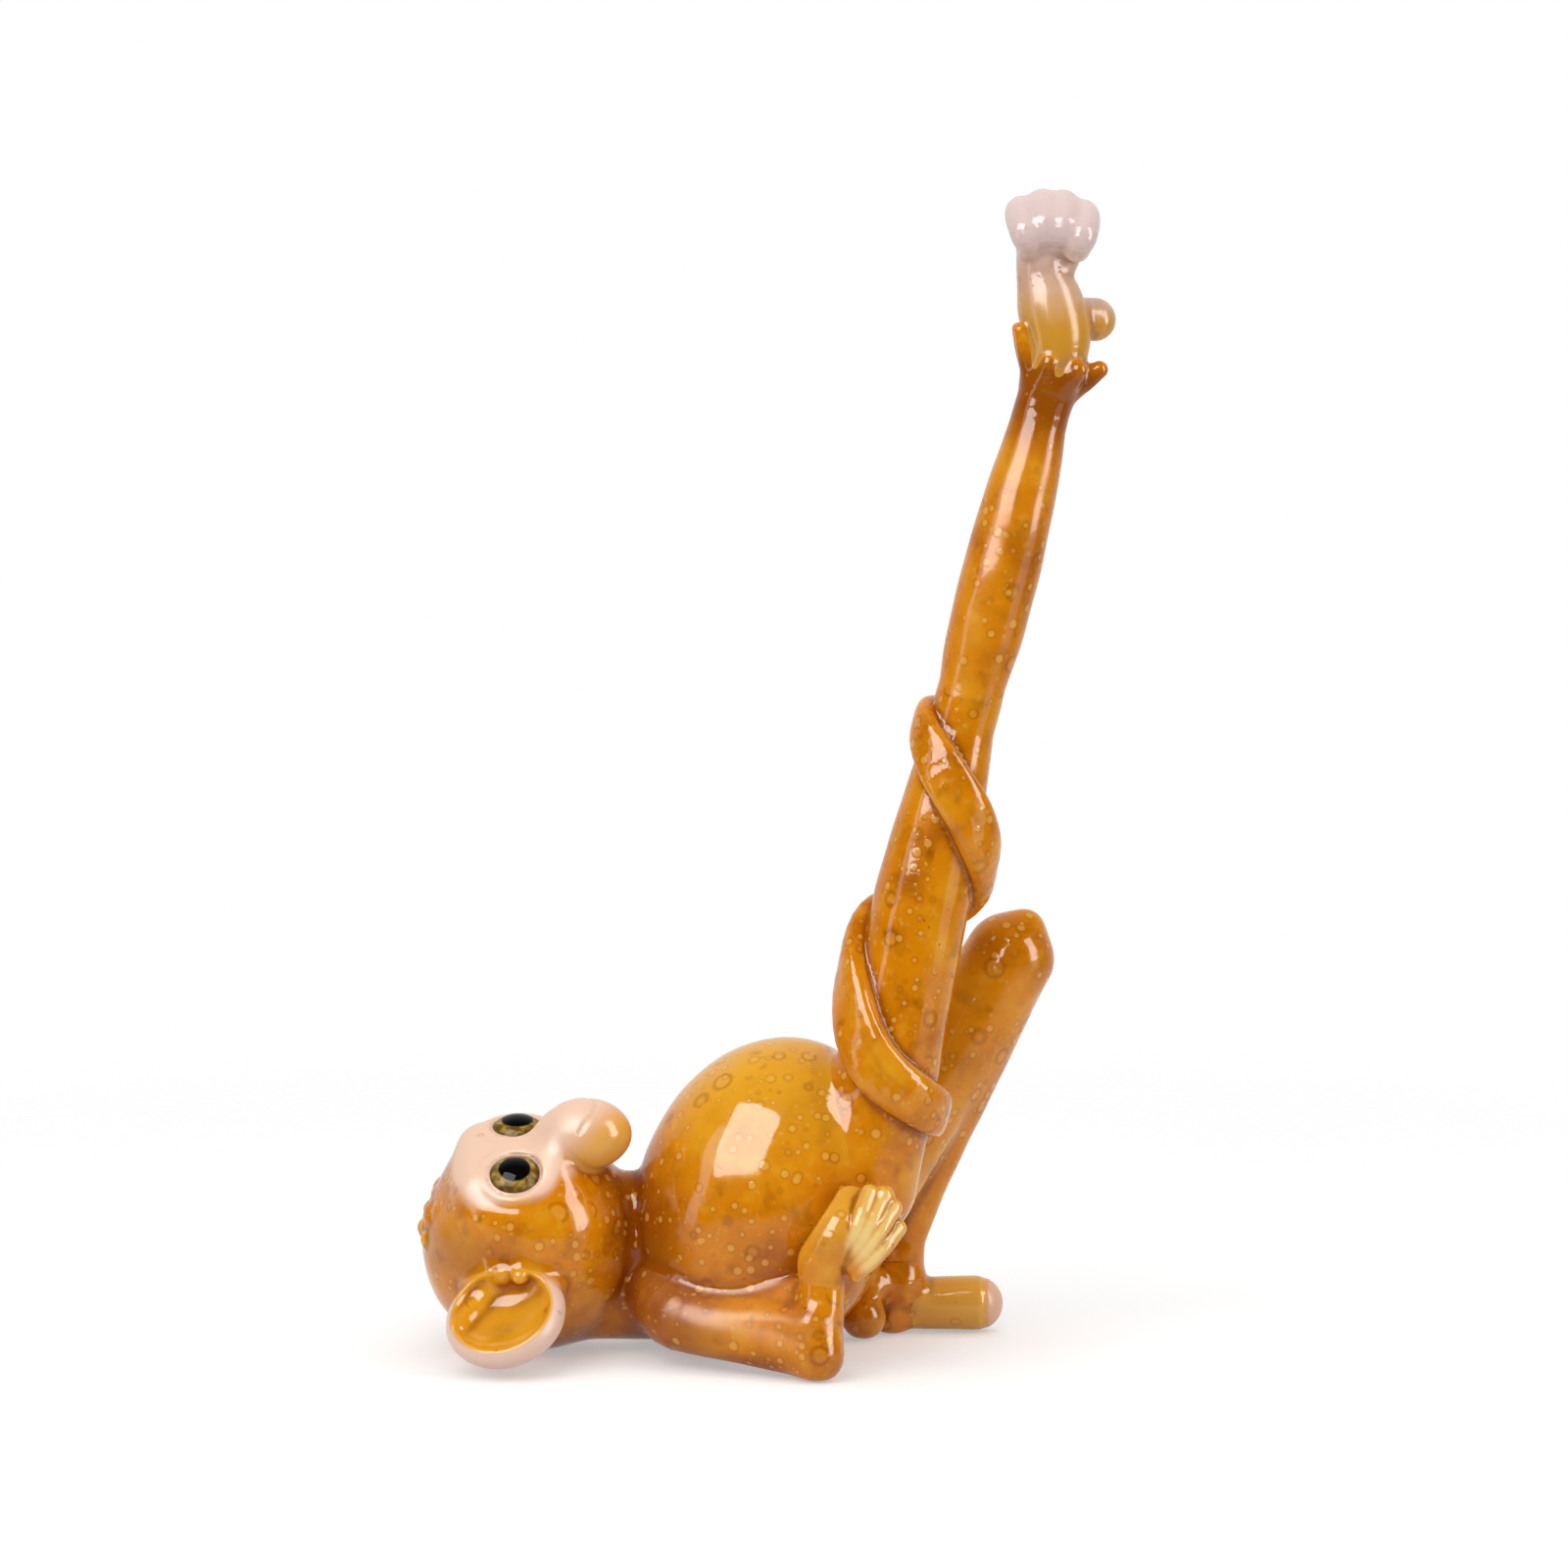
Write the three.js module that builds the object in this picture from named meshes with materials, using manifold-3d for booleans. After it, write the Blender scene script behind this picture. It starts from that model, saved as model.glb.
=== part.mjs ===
// Monkey figurine in glazed ceramic, lying on its back with its tail wound round one raised leg.
// Millimetres, +Z up. The origin is the middle of the flat on which the back rests,
// +X runs from the head to the feet, and -Y is the monkey's right side.
// Every piece is made alone, trimmed to fit the pieces before it and stuck on with liquid clay.

import * as THREE from 'three';
import { mergeVertices } from 'three/addons/utils/BufferGeometryUtils.js';
import Module from 'manifold-3d';

const wasm = await Module();
wasm.setup();

// Sizes in millimetres, angles in degrees

// Joints of liquid clay, and the two hollow castings
const SLIP_GAP = 0.3;
const SHELL_WALL = 5;
const SMALLEST_EDGE = 0.02;
const VENT_DIAMETER = 7;
const VENT_TO_MIDDLE = 7.5;

// Torso: an egg that leans towards the legs and is cut flat underneath
const TORSO_THICKNESS = 67;
const TORSO_WIDTH = 66;
const TORSO_LENGTH = 85.6;
const TORSO_LEAN = 18.5;
const REST_FLAT_DEPTH = 3.3;

// Neck: a stub of the torso that sits in a socket of the head
const NECK_DIAMETER = 36;
const NECK_BORE = 20;
const NECK_SEAT = 3.4;

// Head: rolled towards its right side
const HEAD_LENGTH = 56;
const HEAD_WIDTH = 54;
const HEAD_HEIGHT = 55.2;
const HEAD_ROLL = 22;
const HEAD_TUCK = 1.9;
const HEAD_FLAT_DEPTH = 0.4;

// Face: x towards the chin, z out of the face
const SNOUT_DIAMETER = 23;
const SNOUT_REACH = 35;
const SNOUT_PITCH = 26;
const BRIDGE_LENGTH = 40;
const BRIDGE_WIDTH = 18;
const BRIDGE_PROUD = 4;
const BRIDGE_DEPTH = 23;
const EYE_DIAMETER = 15;
const EYE_SPACING = 22.4;
const EYE_TO_CROWN = 3.5;
const EYE_SINK = 2.5;
const EYE_RING_DIAMETER = 19;
const EYE_RING_THICKNESS = 6.6;
const EYE_TILT = 12;

// Ears: thick dishes that face the same way as the face
const EAR_DIAMETER = 31;
const EAR_DEPTH = 17;
const EAR_DISH_DIAMETER = 25;
const EAR_DISH_DEPTH = 18;
const EAR_DISH_LIFT = 5.5;
const EAR_STANDOFF = 5.5;
const EAR_TO_CROWN = 4.7;
const EAR_TO_NAPE = 2.5;

// Crown tuft: a row of clay pellets along the hairline
const CROWN_PELLETS = 5;
const CROWN_PELLET_DIAMETER = 6;
const CROWN_SPACING = 5.2;
const CROWN_PITCH = 20;

// Arms: upper arm along the ground, forearm upright, hand on the hip
const SHOULDER_DIAMETER = 20;
const SHOULDER_AIM = [-0.34, 0.66, -0.7];
const SHOULDER_STANDOFF = 3;
const ELBOW_DIAMETER = 14.4;
const ELBOW_FORWARD = 34;
const ELBOW_OUT = 20.5;
const WRIST_DIAMETER = 11.6;
const WRIST_FORWARD = 1.5;
const WRIST_IN = 7;
const WRIST_RISE = 20;
const PALM_LENGTH = 20;
const PALM_WIDTH = 13;
const PALM_FORWARD = 6;
const PALM_IN = 2;
const PALM_RISE = 9;
const FINGER_COUNT = 5;
const FINGER_DIAMETER = 4;
const FINGER_ROOT_REACH = 7.65;
const FINGER_TIP_REACH = 13.75;
const FINGER_FIRST_ANGLE = 86;
const FINGER_STEP_ANGLE = 15;
const FINGER_CURL = 5;
const FINGER_ARCH = 2;

// Raised leg
const RAISED_HIP_OUT = 14;
const RAISED_HIP_RISE = 6.3;
const RAISED_HIP_SINK = 6.6;
const RAISED_THIGH_LENGTH = 124.8;
const RAISED_THIGH_LEAN = 11.7;
const RAISED_THIGH_BOW = 1;
const RAISED_THIGH_BOW_SHARE = 0.6;
const RAISED_THIGH_DIAMETERS = [26, 26, 24.8, 24.4, 20.8, 15.6];
const RAISED_SHIN_LENGTH = 76.5;
const RAISED_SHIN_LEAN = 14.2;
const RAISED_SHIN_DIAMETERS = [15.6, 19.2, 19.4, 17.6, 13.6];
const RAISED_LEG_INWARD = 2;

// Raised foot, in the frame of the ankle: up the leg is +Z
const FOOT_RISE = 25;
const FOOT_FORWARD = 2.4;
const FOOT_LENGTH = 30;
const FOOT_WIDTH = 18.6;
const FOOT_THICKNESS = 15;
const TOE_ROOT_SPREAD = 0.7;
const TOE_COUNT = 4;
const TOE_DIAMETER = 9;
const TOE_SPACING = 4.8;
const TOE_RISE = 47.5;
const TOE_CURL = 8;
const TOE_ARCH = 1.25;
const HIGHEST_TOE = 1.2;
const BIG_TOE_DIAMETER = 11;
const BIG_TOE_STALK = 7.7;
const BIG_TOE_OUT = 16.5;
const BIG_TOE_BACK = 6;
const BIG_TOE_DROP = 2;

// Fur cuffs at both ankles: long tufts towards the head, stubby ones away from it
const CUFF_DIAMETER = 14.5;
const CUFF_LENGTH = 11;
const CUFF_TUFT_COUNT = 6;
const CUFF_TUFT_LENGTH = 16;
const CUFF_STUBBY_LENGTH = 11;
const CUFF_TUFT_FRONT_LENGTH = 9;
const CUFF_TUFT_ROOT_DIAMETER = 6.4;
const CUFF_TUFT_TIP_DIAMETER = 2.6;
const CUFF_TUFT_FLARE = 36;
const CUFF_STUBBY_FLARE = 46;
const CUFF_TUFT_RISE = 2.75;
const CUFF_TUFT_INSET = 2.4;

// Bent leg: knee up, foot flat on the ground
const BENT_HIP_OUT = 14;
const BENT_HIP_RISE = 3.3;
const BENT_HIP_SINK = 5.6;
const BENT_THIGH_LENGTH = 67.5;
const BENT_THIGH_LEAN = 32.5;
const BENT_THIGH_DIAMETERS = [27, 26, 24.5, 23];
const BENT_KNEE_OUT = 4;
const BENT_SHIN_DIAMETERS = [21, 19.5, 15.5, 11, 9.4];
const BENT_ANKLE_FORWARD = 11.8;
const BENT_ANKLE_OUT = 8;
const BENT_ANKLE_RISE = 6;
const BENT_FOOT_LENGTH = 29;
const BENT_FOOT_OUT = 2;
const BENT_FOOT_WIDTH = 18;
const BENT_FOOT_HEIGHT = 14.4;
const BENT_TOE_DIAMETER = 6.4;
const BENT_BIG_TOE_DIAMETER = 11.6;
const BENT_BIG_TOE_STALK = 8;
const BENT_BIG_TOE_BACK = 12;
const BENT_BIG_TOE_IN = 10;
const BENT_CUFF_TUFT_LENGTH = 7;
const BENT_CUFF_STUBBY_LENGTH = 7;
const BENT_CUFF_TUFT_FRONT_LENGTH = 5;

// Tail: wound up the raised leg from the rump
const TAIL_DIAMETERS = [12.4, 11.4, 11, 10.8, 10.4, 9.6, 8, 4.5];
const TAIL_TURNS = 1.8;
const TAIL_START_ANGLE = -50;
const TAIL_FIRST_HEIGHT = 10;
const TAIL_LAST_HEIGHT = 136;
const TAIL_LIFT = 2.2;
const TAIL_ROOT_LIFT = -1;
const TAIL_ROOT_SHARE = 0.25;
const TAIL_ROOT_DEPTH = 12;

// Facets
const EGG_SIDES = 22;
const SMALL_EGG_SIDES = 14;
const BALL_SIDES = 12;
const RINGS_PER_SIDE = 0.6;
const ROD_SIDES = 16;
const LIMB_SIDES = 14;
const DIGIT_SIDES = 6;
const TOE_SIDES = 7;
const TAIL_SIDES = 8;
const PELLET_SIDES = 8;
const TAIL_STEPS_PER_TURN = 12;
const TAIL_RINGS_PER_TURN = 22;

const vector = (x, y, z) => new THREE.Vector3(x, y, z);
const turnAbout = (axis, angle) =>
  new THREE.Quaternion().setFromAxisAngle(axis, THREE.MathUtils.degToRad(angle));
const X_AXIS = vector(1, 0, 0);
const Y_AXIS = vector(0, 1, 0);
const Z_AXIS = vector(0, 0, 1);
const DOWN = vector(0, 0, -1);
const sine = (angle) => Math.sin(THREE.MathUtils.degToRad(angle));
const cosine = (angle) => Math.cos(THREE.MathUtils.degToRad(angle));

// Solids

/** Closed geometry with shared corners, as a solid that can be joined and cut. */
function solidOf(geometry) {
  const bare = geometry.clone();
  bare.deleteAttribute('normal');
  bare.deleteAttribute('uv');
  const welded = mergeVertices(bare);
  const corners = welded.index.array;
  const triangles = [];
  for (let i = 0; i < corners.length; i += 3) {
    const [a, b, c] = [corners[i], corners[i + 1], corners[i + 2]];
    if (a !== b && b !== c && c !== a) triangles.push(a, b, c);
  }
  return new wasm.Manifold(new wasm.Mesh({
    numProp: 3,
    vertProperties: new Float32Array(welded.attributes.position.array),
    triVerts: new Uint32Array(triangles),
  }));
}

/** Ellipsoid about a centre, turned and grown outwards by a clearance. */
function egg(centre, half, turn, grow = 0, sides = EGG_SIDES) {
  const shape = new THREE.SphereGeometry(1, sides, Math.round(sides * RINGS_PER_SIDE));
  shape.scale(half.x + grow, half.y + grow, half.z + grow);
  shape.applyQuaternion(turn);
  shape.translate(centre.x, centre.y, centre.z);
  return solidOf(shape);
}

/** Ball about a centre. */
const ball = (centre, diameter, grow = 0, sides = BALL_SIDES) =>
  egg(centre, vector(1, 1, 1).multiplyScalar(diameter / 2), new THREE.Quaternion(), grow, sides);

/** Straight rod between two points, lengthened by the clearance at its far end. */
function rod(start, end, diameter, grow = 0) {
  const along = end.clone().sub(start);
  const length = along.length() + grow;
  const shape = new THREE.CylinderGeometry(diameter / 2 + grow, diameter / 2 + grow, length, ROD_SIDES);
  shape.translate(0, length / 2, 0);
  shape.applyQuaternion(new THREE.Quaternion().setFromUnitVectors(Y_AXIS, along.normalize()));
  shape.translate(start.x, start.y, start.z);
  return solidOf(shape);
}

/** Evenly spread diameters read at a share of a limb's length. */
function girth(diameters, share) {
  const spread = new THREE.CatmullRomCurve3(diameters.map((d) => vector(d / 2, 0, 0)));
  return spread.getPoint(share).x;
}

/** Rings of a limb with a dome at each end: centre, direction and radius of each. */
function limbRings(line, diameters, rings, domes, grow) {
  const path = new THREE.CatmullRomCurve3(line);
  const list = [];
  const dome = (share, side, step) => {
    const radius = girth(diameters, share) + grow;
    const tangent = path.getTangentAt(share);
    const angle = (step / domes) * 90;
    const centre = path.getPointAt(share).addScaledVector(tangent, side * radius * cosine(angle));
    list.push({ centre, tangent, radius: step === 0 ? 0 : radius * sine(angle) });
  };
  for (let step = 0; step < domes; step++) dome(0, -1, step);
  for (let ring = 0; ring <= rings; ring++) {
    const share = ring / rings;
    list.push({
      centre: path.getPointAt(share),
      tangent: path.getTangentAt(share),
      radius: girth(diameters, share) + grow,
    });
  }
  for (let step = domes - 1; step >= 0; step--) dome(1, 1, step);
  return list;
}

/** Round limb along a line of points: a turned profile bent to follow the line. */
function limb(line, diameters, { grow = 0, rings = 6, domes = 3, sides = LIMB_SIDES } = {}) {
  const list = limbRings(line, diameters, rings, domes, grow);
  const profile = list.map((ring, index) => new THREE.Vector2(ring.radius, index));
  const shape = new THREE.LatheGeometry(profile, sides);
  const first = list[0].tangent;
  const across = Math.abs(first.z) < 0.9 ? Z_AXIS : X_AXIS;
  const normal = across.clone().addScaledVector(first, -across.dot(first)).normalize();
  const normals = list.map((ring, index) => {
    const before = list[Math.max(index - 1, 0)].tangent;
    normal.applyQuaternion(new THREE.Quaternion().setFromUnitVectors(before, ring.tangent));
    return normal.clone();
  });
  const spots = shape.attributes.position;
  for (let i = 0; i < spots.count; i++) {
    const index = Math.round(spots.getY(i));
    const { centre, tangent } = list[index];
    const side = tangent.clone().cross(normals[index]);
    const place = centre.clone();
    place.addScaledVector(side, spots.getX(i)).addScaledVector(normals[index], spots.getZ(i));
    spots.setXYZ(i, place.x, place.y, place.z);
  }
  return solidOf(shape);
}

/** Short limb such as a finger or a tuft of fur, with few facets. */
const digit = (line, diameters, grow, rings = 2) =>
  limb(line, diameters, { grow, rings, domes: 2, sides: DIGIT_SIDES });

/** Everything below a level, as a block to cut with. */
function below(level) {
  const span = 4 * RAISED_THIGH_LENGTH;
  const block = new THREE.BoxGeometry(span, span, span);
  block.translate(0, 0, level - span / 2);
  return solidOf(block);
}

const join = (...solids) => solids.reduce((whole, solid) => whole.add(solid));

// Torso and neck

const torsoTurn = turnAbout(Y_AXIS, TORSO_LEAN);
const torsoHalf = vector(TORSO_THICKNESS / 2, TORSO_WIDTH / 2, TORSO_LENGTH / 2);
const torsoReachUp = Math.hypot(torsoHalf.x * sine(TORSO_LEAN), torsoHalf.z * cosine(TORSO_LEAN));
const torsoReachAlong = Math.hypot(torsoHalf.x * cosine(TORSO_LEAN), torsoHalf.z * sine(TORSO_LEAN));
const torsoHeight = torsoReachUp - REST_FLAT_DEPTH;
const torsoSkew = (torsoHalf.z ** 2 - torsoHalf.x ** 2) * sine(TORSO_LEAN) * cosine(TORSO_LEAN);
const torsoCentre = vector((torsoSkew * torsoHeight) / torsoReachUp ** 2, 0, torsoHeight);

/** Point of the torso's skin that lies in a direction of the upright egg. */
function onTorso(x, y, z) {
  const spot = vector(x, y, z).normalize().multiply(torsoHalf);
  return spot.applyQuaternion(torsoTurn).add(torsoCentre);
}

const headHalf = vector(HEAD_LENGTH / 2, HEAD_WIDTH / 2, HEAD_HEIGHT / 2);
const headReachUp = Math.hypot(headHalf.y * sine(HEAD_ROLL), headHalf.z * cosine(HEAD_ROLL));
const headCentre = vector(
  torsoCentre.x - torsoReachAlong + HEAD_TUCK - headHalf.x,
  0,
  headReachUp - HEAD_FLAT_DEPTH,
);
const neckMouth = headHalf.x * Math.sqrt(1 - (NECK_DIAMETER / HEAD_WIDTH) ** 2);
const neckStart = vector(torsoCentre.x, 0, headCentre.z);
const neckEnd = vector(headCentre.x + neckMouth - NECK_SEAT, 0, headCentre.z);

const torsoForm = (grow) => join(
  egg(torsoCentre, torsoHalf, torsoTurn, grow),
  rod(neckStart, neckEnd, NECK_DIAMETER, grow),
);
const neckBore = rod(neckStart, headCentre, NECK_BORE);
const torsoHollow = () => join(
  egg(torsoCentre, torsoHalf, torsoTurn, -SHELL_WALL, SMALL_EGG_SIDES).subtract(below(SHELL_WALL)),
  neckBore,
  rod(vector(-VENT_TO_MIDDLE, 0, torsoHeight), vector(-VENT_TO_MIDDLE, 0, -SHELL_WALL), VENT_DIAMETER),
);

// Head: its own frame has x towards the chin, y to its left and z out of the face

const headTurn = turnAbout(X_AXIS, HEAD_ROLL);
const fromHead = (x, y, z) => vector(x, y, z).applyQuaternion(headTurn).add(headCentre);
const faceHeight = (x, y) =>
  headHalf.z * Math.sqrt(1 - (x / headHalf.x) ** 2 - (y / headHalf.y) ** 2);

const snoutCentre = fromHead(SNOUT_REACH * sine(SNOUT_PITCH), 0, SNOUT_REACH * cosine(SNOUT_PITCH));
const bridgeHalf = vector(BRIDGE_LENGTH / 2, BRIDGE_WIDTH / 2, BRIDGE_DEPTH / 2);
const bridgeCentre = fromHead(0, 0, headHalf.z + BRIDGE_PROUD - bridgeHalf.z);

/** Middle and facing of an eye's raised ring; side is -1 on the right and 1 on the left. */
function eyeSeat(side) {
  const y = (side * EYE_SPACING) / 2;
  const turn = headTurn.clone().multiply(turnAbout(X_AXIS, -side * EYE_TILT));
  return { middle: fromHead(-EYE_TO_CROWN, y, faceHeight(-EYE_TO_CROWN, y)), turn };
}

function eyeRing(side, grow) {
  const { middle, turn } = eyeSeat(side);
  const thickness = EYE_RING_THICKNESS / 2 + grow;
  const ring = new THREE.TorusGeometry(EYE_RING_DIAMETER / 2, thickness, DIGIT_SIDES, ROD_SIDES);
  ring.applyQuaternion(turn);
  ring.translate(middle.x, middle.y, middle.z);
  return solidOf(ring);
}

function eyeForm(side, grow) {
  const { middle, turn } = eyeSeat(side);
  const sunk = middle.clone().addScaledVector(Z_AXIS.clone().applyQuaternion(turn), -EYE_SINK);
  return ball(sunk, EYE_DIAMETER, grow);
}

const headForm = (grow) => join(
  egg(headCentre, headHalf, headTurn, grow),
  egg(bridgeCentre, bridgeHalf, headTurn, grow, BALL_SIDES),
  ball(snoutCentre, SNOUT_DIAMETER, grow, SMALL_EGG_SIDES),
  eyeRing(-1, grow),
  eyeRing(1, grow),
);
const headHollow = () => join(egg(headCentre, headHalf, headTurn, -SHELL_WALL, SMALL_EGG_SIDES), neckBore);

function earForm(side, grow) {
  const y = side * (headHalf.y + EAR_STANDOFF);
  const half = vector(EAR_DIAMETER / 2, EAR_DIAMETER / 2, EAR_DEPTH / 2);
  const dish = vector(EAR_DISH_DIAMETER / 2, EAR_DISH_DIAMETER / 2, EAR_DISH_DEPTH / 2);
  const outer = egg(fromHead(-EAR_TO_CROWN, y, -EAR_TO_NAPE), half, headTurn, grow, SMALL_EGG_SIDES);
  const lift = EAR_DISH_LIFT - EAR_TO_NAPE;
  return outer.subtract(egg(fromHead(-EAR_TO_CROWN, y, lift), dish, headTurn, -grow, SMALL_EGG_SIDES));
}

function tuftForm(grow) {
  const pellets = [];
  const step = THREE.MathUtils.radToDeg(CROWN_SPACING / headHalf.y);
  for (let i = 0; i < CROWN_PELLETS; i++) {
    const swing = (i - (CROWN_PELLETS - 1) / 2) * step;
    const place = fromHead(
      -headHalf.x * cosine(CROWN_PITCH) * cosine(swing),
      headHalf.y * sine(swing),
      headHalf.z * sine(CROWN_PITCH) * cosine(swing),
    );
    pellets.push(ball(place, CROWN_PELLET_DIAMETER, grow, PELLET_SIDES));
  }
  return join(...pellets);
}

// Arms; side is -1 on the right and 1 on the left

function armJoints(side) {
  const [along, out, up] = SHOULDER_AIM;
  const skin = onTorso(along, out * side, up);
  const outward = skin.clone().sub(torsoCentre).normalize();
  const shoulder = skin.addScaledVector(outward, SHOULDER_STANDOFF);
  const elbow = vector(shoulder.x + ELBOW_FORWARD, shoulder.y + side * ELBOW_OUT, ELBOW_DIAMETER / 2);
  const wrist = elbow.clone().add(vector(WRIST_FORWARD, -side * WRIST_IN, WRIST_RISE));
  const palm = wrist.clone().add(vector(PALM_FORWARD, -side * PALM_IN, PALM_RISE));
  return { shoulder, elbow, wrist, palm };
}

function upperArmForm(side, grow) {
  const { shoulder, elbow } = armJoints(side);
  return limb([shoulder, elbow], [SHOULDER_DIAMETER, ELBOW_DIAMETER], { grow, rings: 4 });
}

function forearmForm(side, grow) {
  const { elbow, wrist } = armJoints(side);
  return limb([elbow, wrist], [ELBOW_DIAMETER, WRIST_DIAMETER], { grow, rings: 3, sides: BALL_SIDES });
}

function handForm(side, grow) {
  const { wrist, palm } = armJoints(side);
  const reach = palm.clone().sub(wrist).normalize();
  const start = palm.clone().addScaledVector(reach, -(PALM_LENGTH - PALM_WIDTH) / 2);
  const end = palm.clone().addScaledVector(reach, (PALM_LENGTH - PALM_WIDTH) / 2);
  const parts = [limb([start, end], [WRIST_DIAMETER, PALM_WIDTH], { grow, rings: 2, sides: BALL_SIDES })];
  for (let i = 0; i < FINGER_COUNT; i++) {
    const angle = FINGER_FIRST_ANGLE - i * FINGER_STEP_ANGLE;
    const reachOut = vector(cosine(angle), 0, sine(angle));
    const knuckle = palm.clone().addScaledVector(reachOut, FINGER_ROOT_REACH);
    const tip = palm.clone().addScaledVector(reachOut, FINGER_TIP_REACH);
    knuckle.y += side * (PALM_WIDTH / 2 - FINGER_DIAMETER / 2);
    tip.y -= side * FINGER_CURL;
    const middle = knuckle.clone().lerp(tip, 0.5);
    middle.y += side * FINGER_ARCH;
    parts.push(digit([knuckle, middle, tip], [FINGER_DIAMETER, FINGER_DIAMETER], grow));
  }
  return join(...parts);
}

// Raised leg

const torsoFront = onTorso(1, 0, 0).x;
const raisedHip = vector(torsoFront - RAISED_HIP_SINK, -RAISED_HIP_OUT, torsoHeight + RAISED_HIP_RISE);

/** Point reached from a start by a length that leans from upright towards the feet. */
function leaning(start, length, lean, out) {
  return start.clone().add(vector(length * sine(lean), out, length * cosine(lean)));
}

const raisedKnee = leaning(raisedHip, RAISED_THIGH_LENGTH, RAISED_THIGH_LEAN, RAISED_LEG_INWARD);
const raisedAnkle = leaning(raisedKnee, RAISED_SHIN_LENGTH, RAISED_SHIN_LEAN, RAISED_LEG_INWARD);
const thighMiddle = raisedHip.clone().lerp(raisedKnee, RAISED_THIGH_BOW_SHARE);
thighMiddle.x -= RAISED_THIGH_BOW;
const raisedThighLine = [raisedHip, thighMiddle, raisedKnee];
const raisedShinLine = [raisedKnee, raisedAnkle];

const raisedThighForm = (grow) => limb(raisedThighLine, RAISED_THIGH_DIAMETERS, { grow, rings: 10 });
const raisedShinForm = (grow) => limb(raisedShinLine, RAISED_SHIN_DIAMETERS, { grow, rings: 8 });

// Feet, cuffs and toes

/** Cuff at an ankle with fur tufts that flare towards the foot, along a direction. */
function cuffForm(ankle, along, { long, stubby, front }, grow) {
  const middle = ankle.clone().addScaledVector(along, CUFF_LENGTH / 2);
  const facets = { grow, rings: 2, sides: BALL_SIDES };
  const parts = [limb([ankle, middle], [CUFF_DIAMETER, CUFF_DIAMETER], facets)];
  const aim = new THREE.Quaternion().setFromUnitVectors(Z_AXIS, along);
  for (let i = 0; i < CUFF_TUFT_COUNT; i++) {
    const around = (i / CUFF_TUFT_COUNT) * 360;
    const away = cosine(around);
    const tilt = THREE.MathUtils.lerp(CUFF_TUFT_FLARE, CUFF_STUBBY_FLARE, (1 + away) / 2);
    const flare = vector(0, 0, 1).applyQuaternion(turnAbout(Y_AXIS, tilt));
    flare.applyQuaternion(turnAbout(Z_AXIS, around)).applyQuaternion(aim);
    const start = ankle.clone().addScaledVector(along, CUFF_TUFT_RISE);
    start.addScaledVector(flare, CUFF_DIAMETER / 2 - CUFF_TUFT_INSET);
    const length = THREE.MathUtils.lerp(front, away > 0 ? stubby : long, Math.abs(away));
    const tip = start.clone().addScaledVector(flare, length);
    parts.push(digit([start, tip], [CUFF_TUFT_ROOT_DIAMETER, CUFF_TUFT_TIP_DIAMETER], grow, 1));
  }
  return join(...parts);
}

const raisedTufts = { long: CUFF_TUFT_LENGTH, stubby: CUFF_STUBBY_LENGTH, front: CUFF_TUFT_FRONT_LENGTH };
const bentTufts = {
  long: BENT_CUFF_TUFT_LENGTH,
  stubby: BENT_CUFF_STUBBY_LENGTH,
  front: BENT_CUFF_TUFT_FRONT_LENGTH,
};
const upright = new THREE.Quaternion();
const raisedAlong = raisedAnkle.clone().sub(raisedKnee).normalize();
const raisedFootCentre = raisedAnkle.clone().add(vector(FOOT_FORWARD, 0, FOOT_RISE));
const raisedFootHalf = vector(FOOT_WIDTH / 2, FOOT_THICKNESS / 2, FOOT_LENGTH / 2);

function raisedFootForm(grow) {
  const { x, y } = raisedFootCentre;
  const parts = [egg(raisedFootCentre, raisedFootHalf, upright, grow, SMALL_EGG_SIDES)];
  for (let i = 0; i < TOE_COUNT; i++) {
    const across = (i - (TOE_COUNT - 1) / 2) * TOE_SPACING;
    const drop = TOE_ARCH * (i - HIGHEST_TOE) ** 2;
    const height = raisedAnkle.z + TOE_RISE - drop;
    const root = vector(x + across * TOE_ROOT_SPREAD, y, height - TOE_CURL);
    const knuckle = vector(x + across, y, height + TOE_CURL / 2);
    const tip = vector(x + across, y - TOE_CURL, height);
    const facets = { grow, rings: 3, domes: 2, sides: TOE_SIDES };
    parts.push(limb([root, knuckle, tip], [TOE_DIAMETER, TOE_DIAMETER], facets));
  }
  return join(...parts);
}

function raisedBigToeForm(grow) {
  const reach = vector(BIG_TOE_OUT - BIG_TOE_DIAMETER / 2, BIG_TOE_BACK, -BIG_TOE_DROP);
  const tip = raisedFootCentre.clone().add(reach);
  const facets = { grow, rings: 2, sides: BALL_SIDES };
  return limb([raisedFootCentre, tip], [BIG_TOE_STALK, BIG_TOE_DIAMETER], facets);
}

// Bent leg

const bentHip = vector(torsoFront - BENT_HIP_SINK, BENT_HIP_OUT, torsoHeight + BENT_HIP_RISE);
const bentKnee = leaning(bentHip, BENT_THIGH_LENGTH, BENT_THIGH_LEAN, BENT_KNEE_OUT);
const bentAnkle = vector(
  bentHip.x + BENT_ANKLE_FORWARD,
  bentHip.y + BENT_ANKLE_OUT,
  BENT_FOOT_HEIGHT + BENT_ANKLE_RISE,
);
const bentFootHalf = vector(BENT_FOOT_LENGTH / 2, BENT_FOOT_WIDTH / 2, BENT_FOOT_HEIGHT / 2);
const bentFootCentre = vector(
  bentAnkle.x + BENT_FOOT_LENGTH / 2 - BENT_SHIN_DIAMETERS.at(-1) / 2,
  bentAnkle.y + BENT_FOOT_OUT,
  BENT_FOOT_HEIGHT / 2,
);

const bentThighForm = (grow) => limb([bentHip, bentKnee], BENT_THIGH_DIAMETERS, { grow });
const bentShinForm = (grow) => limb([bentKnee, bentAnkle], BENT_SHIN_DIAMETERS, { grow });

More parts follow.
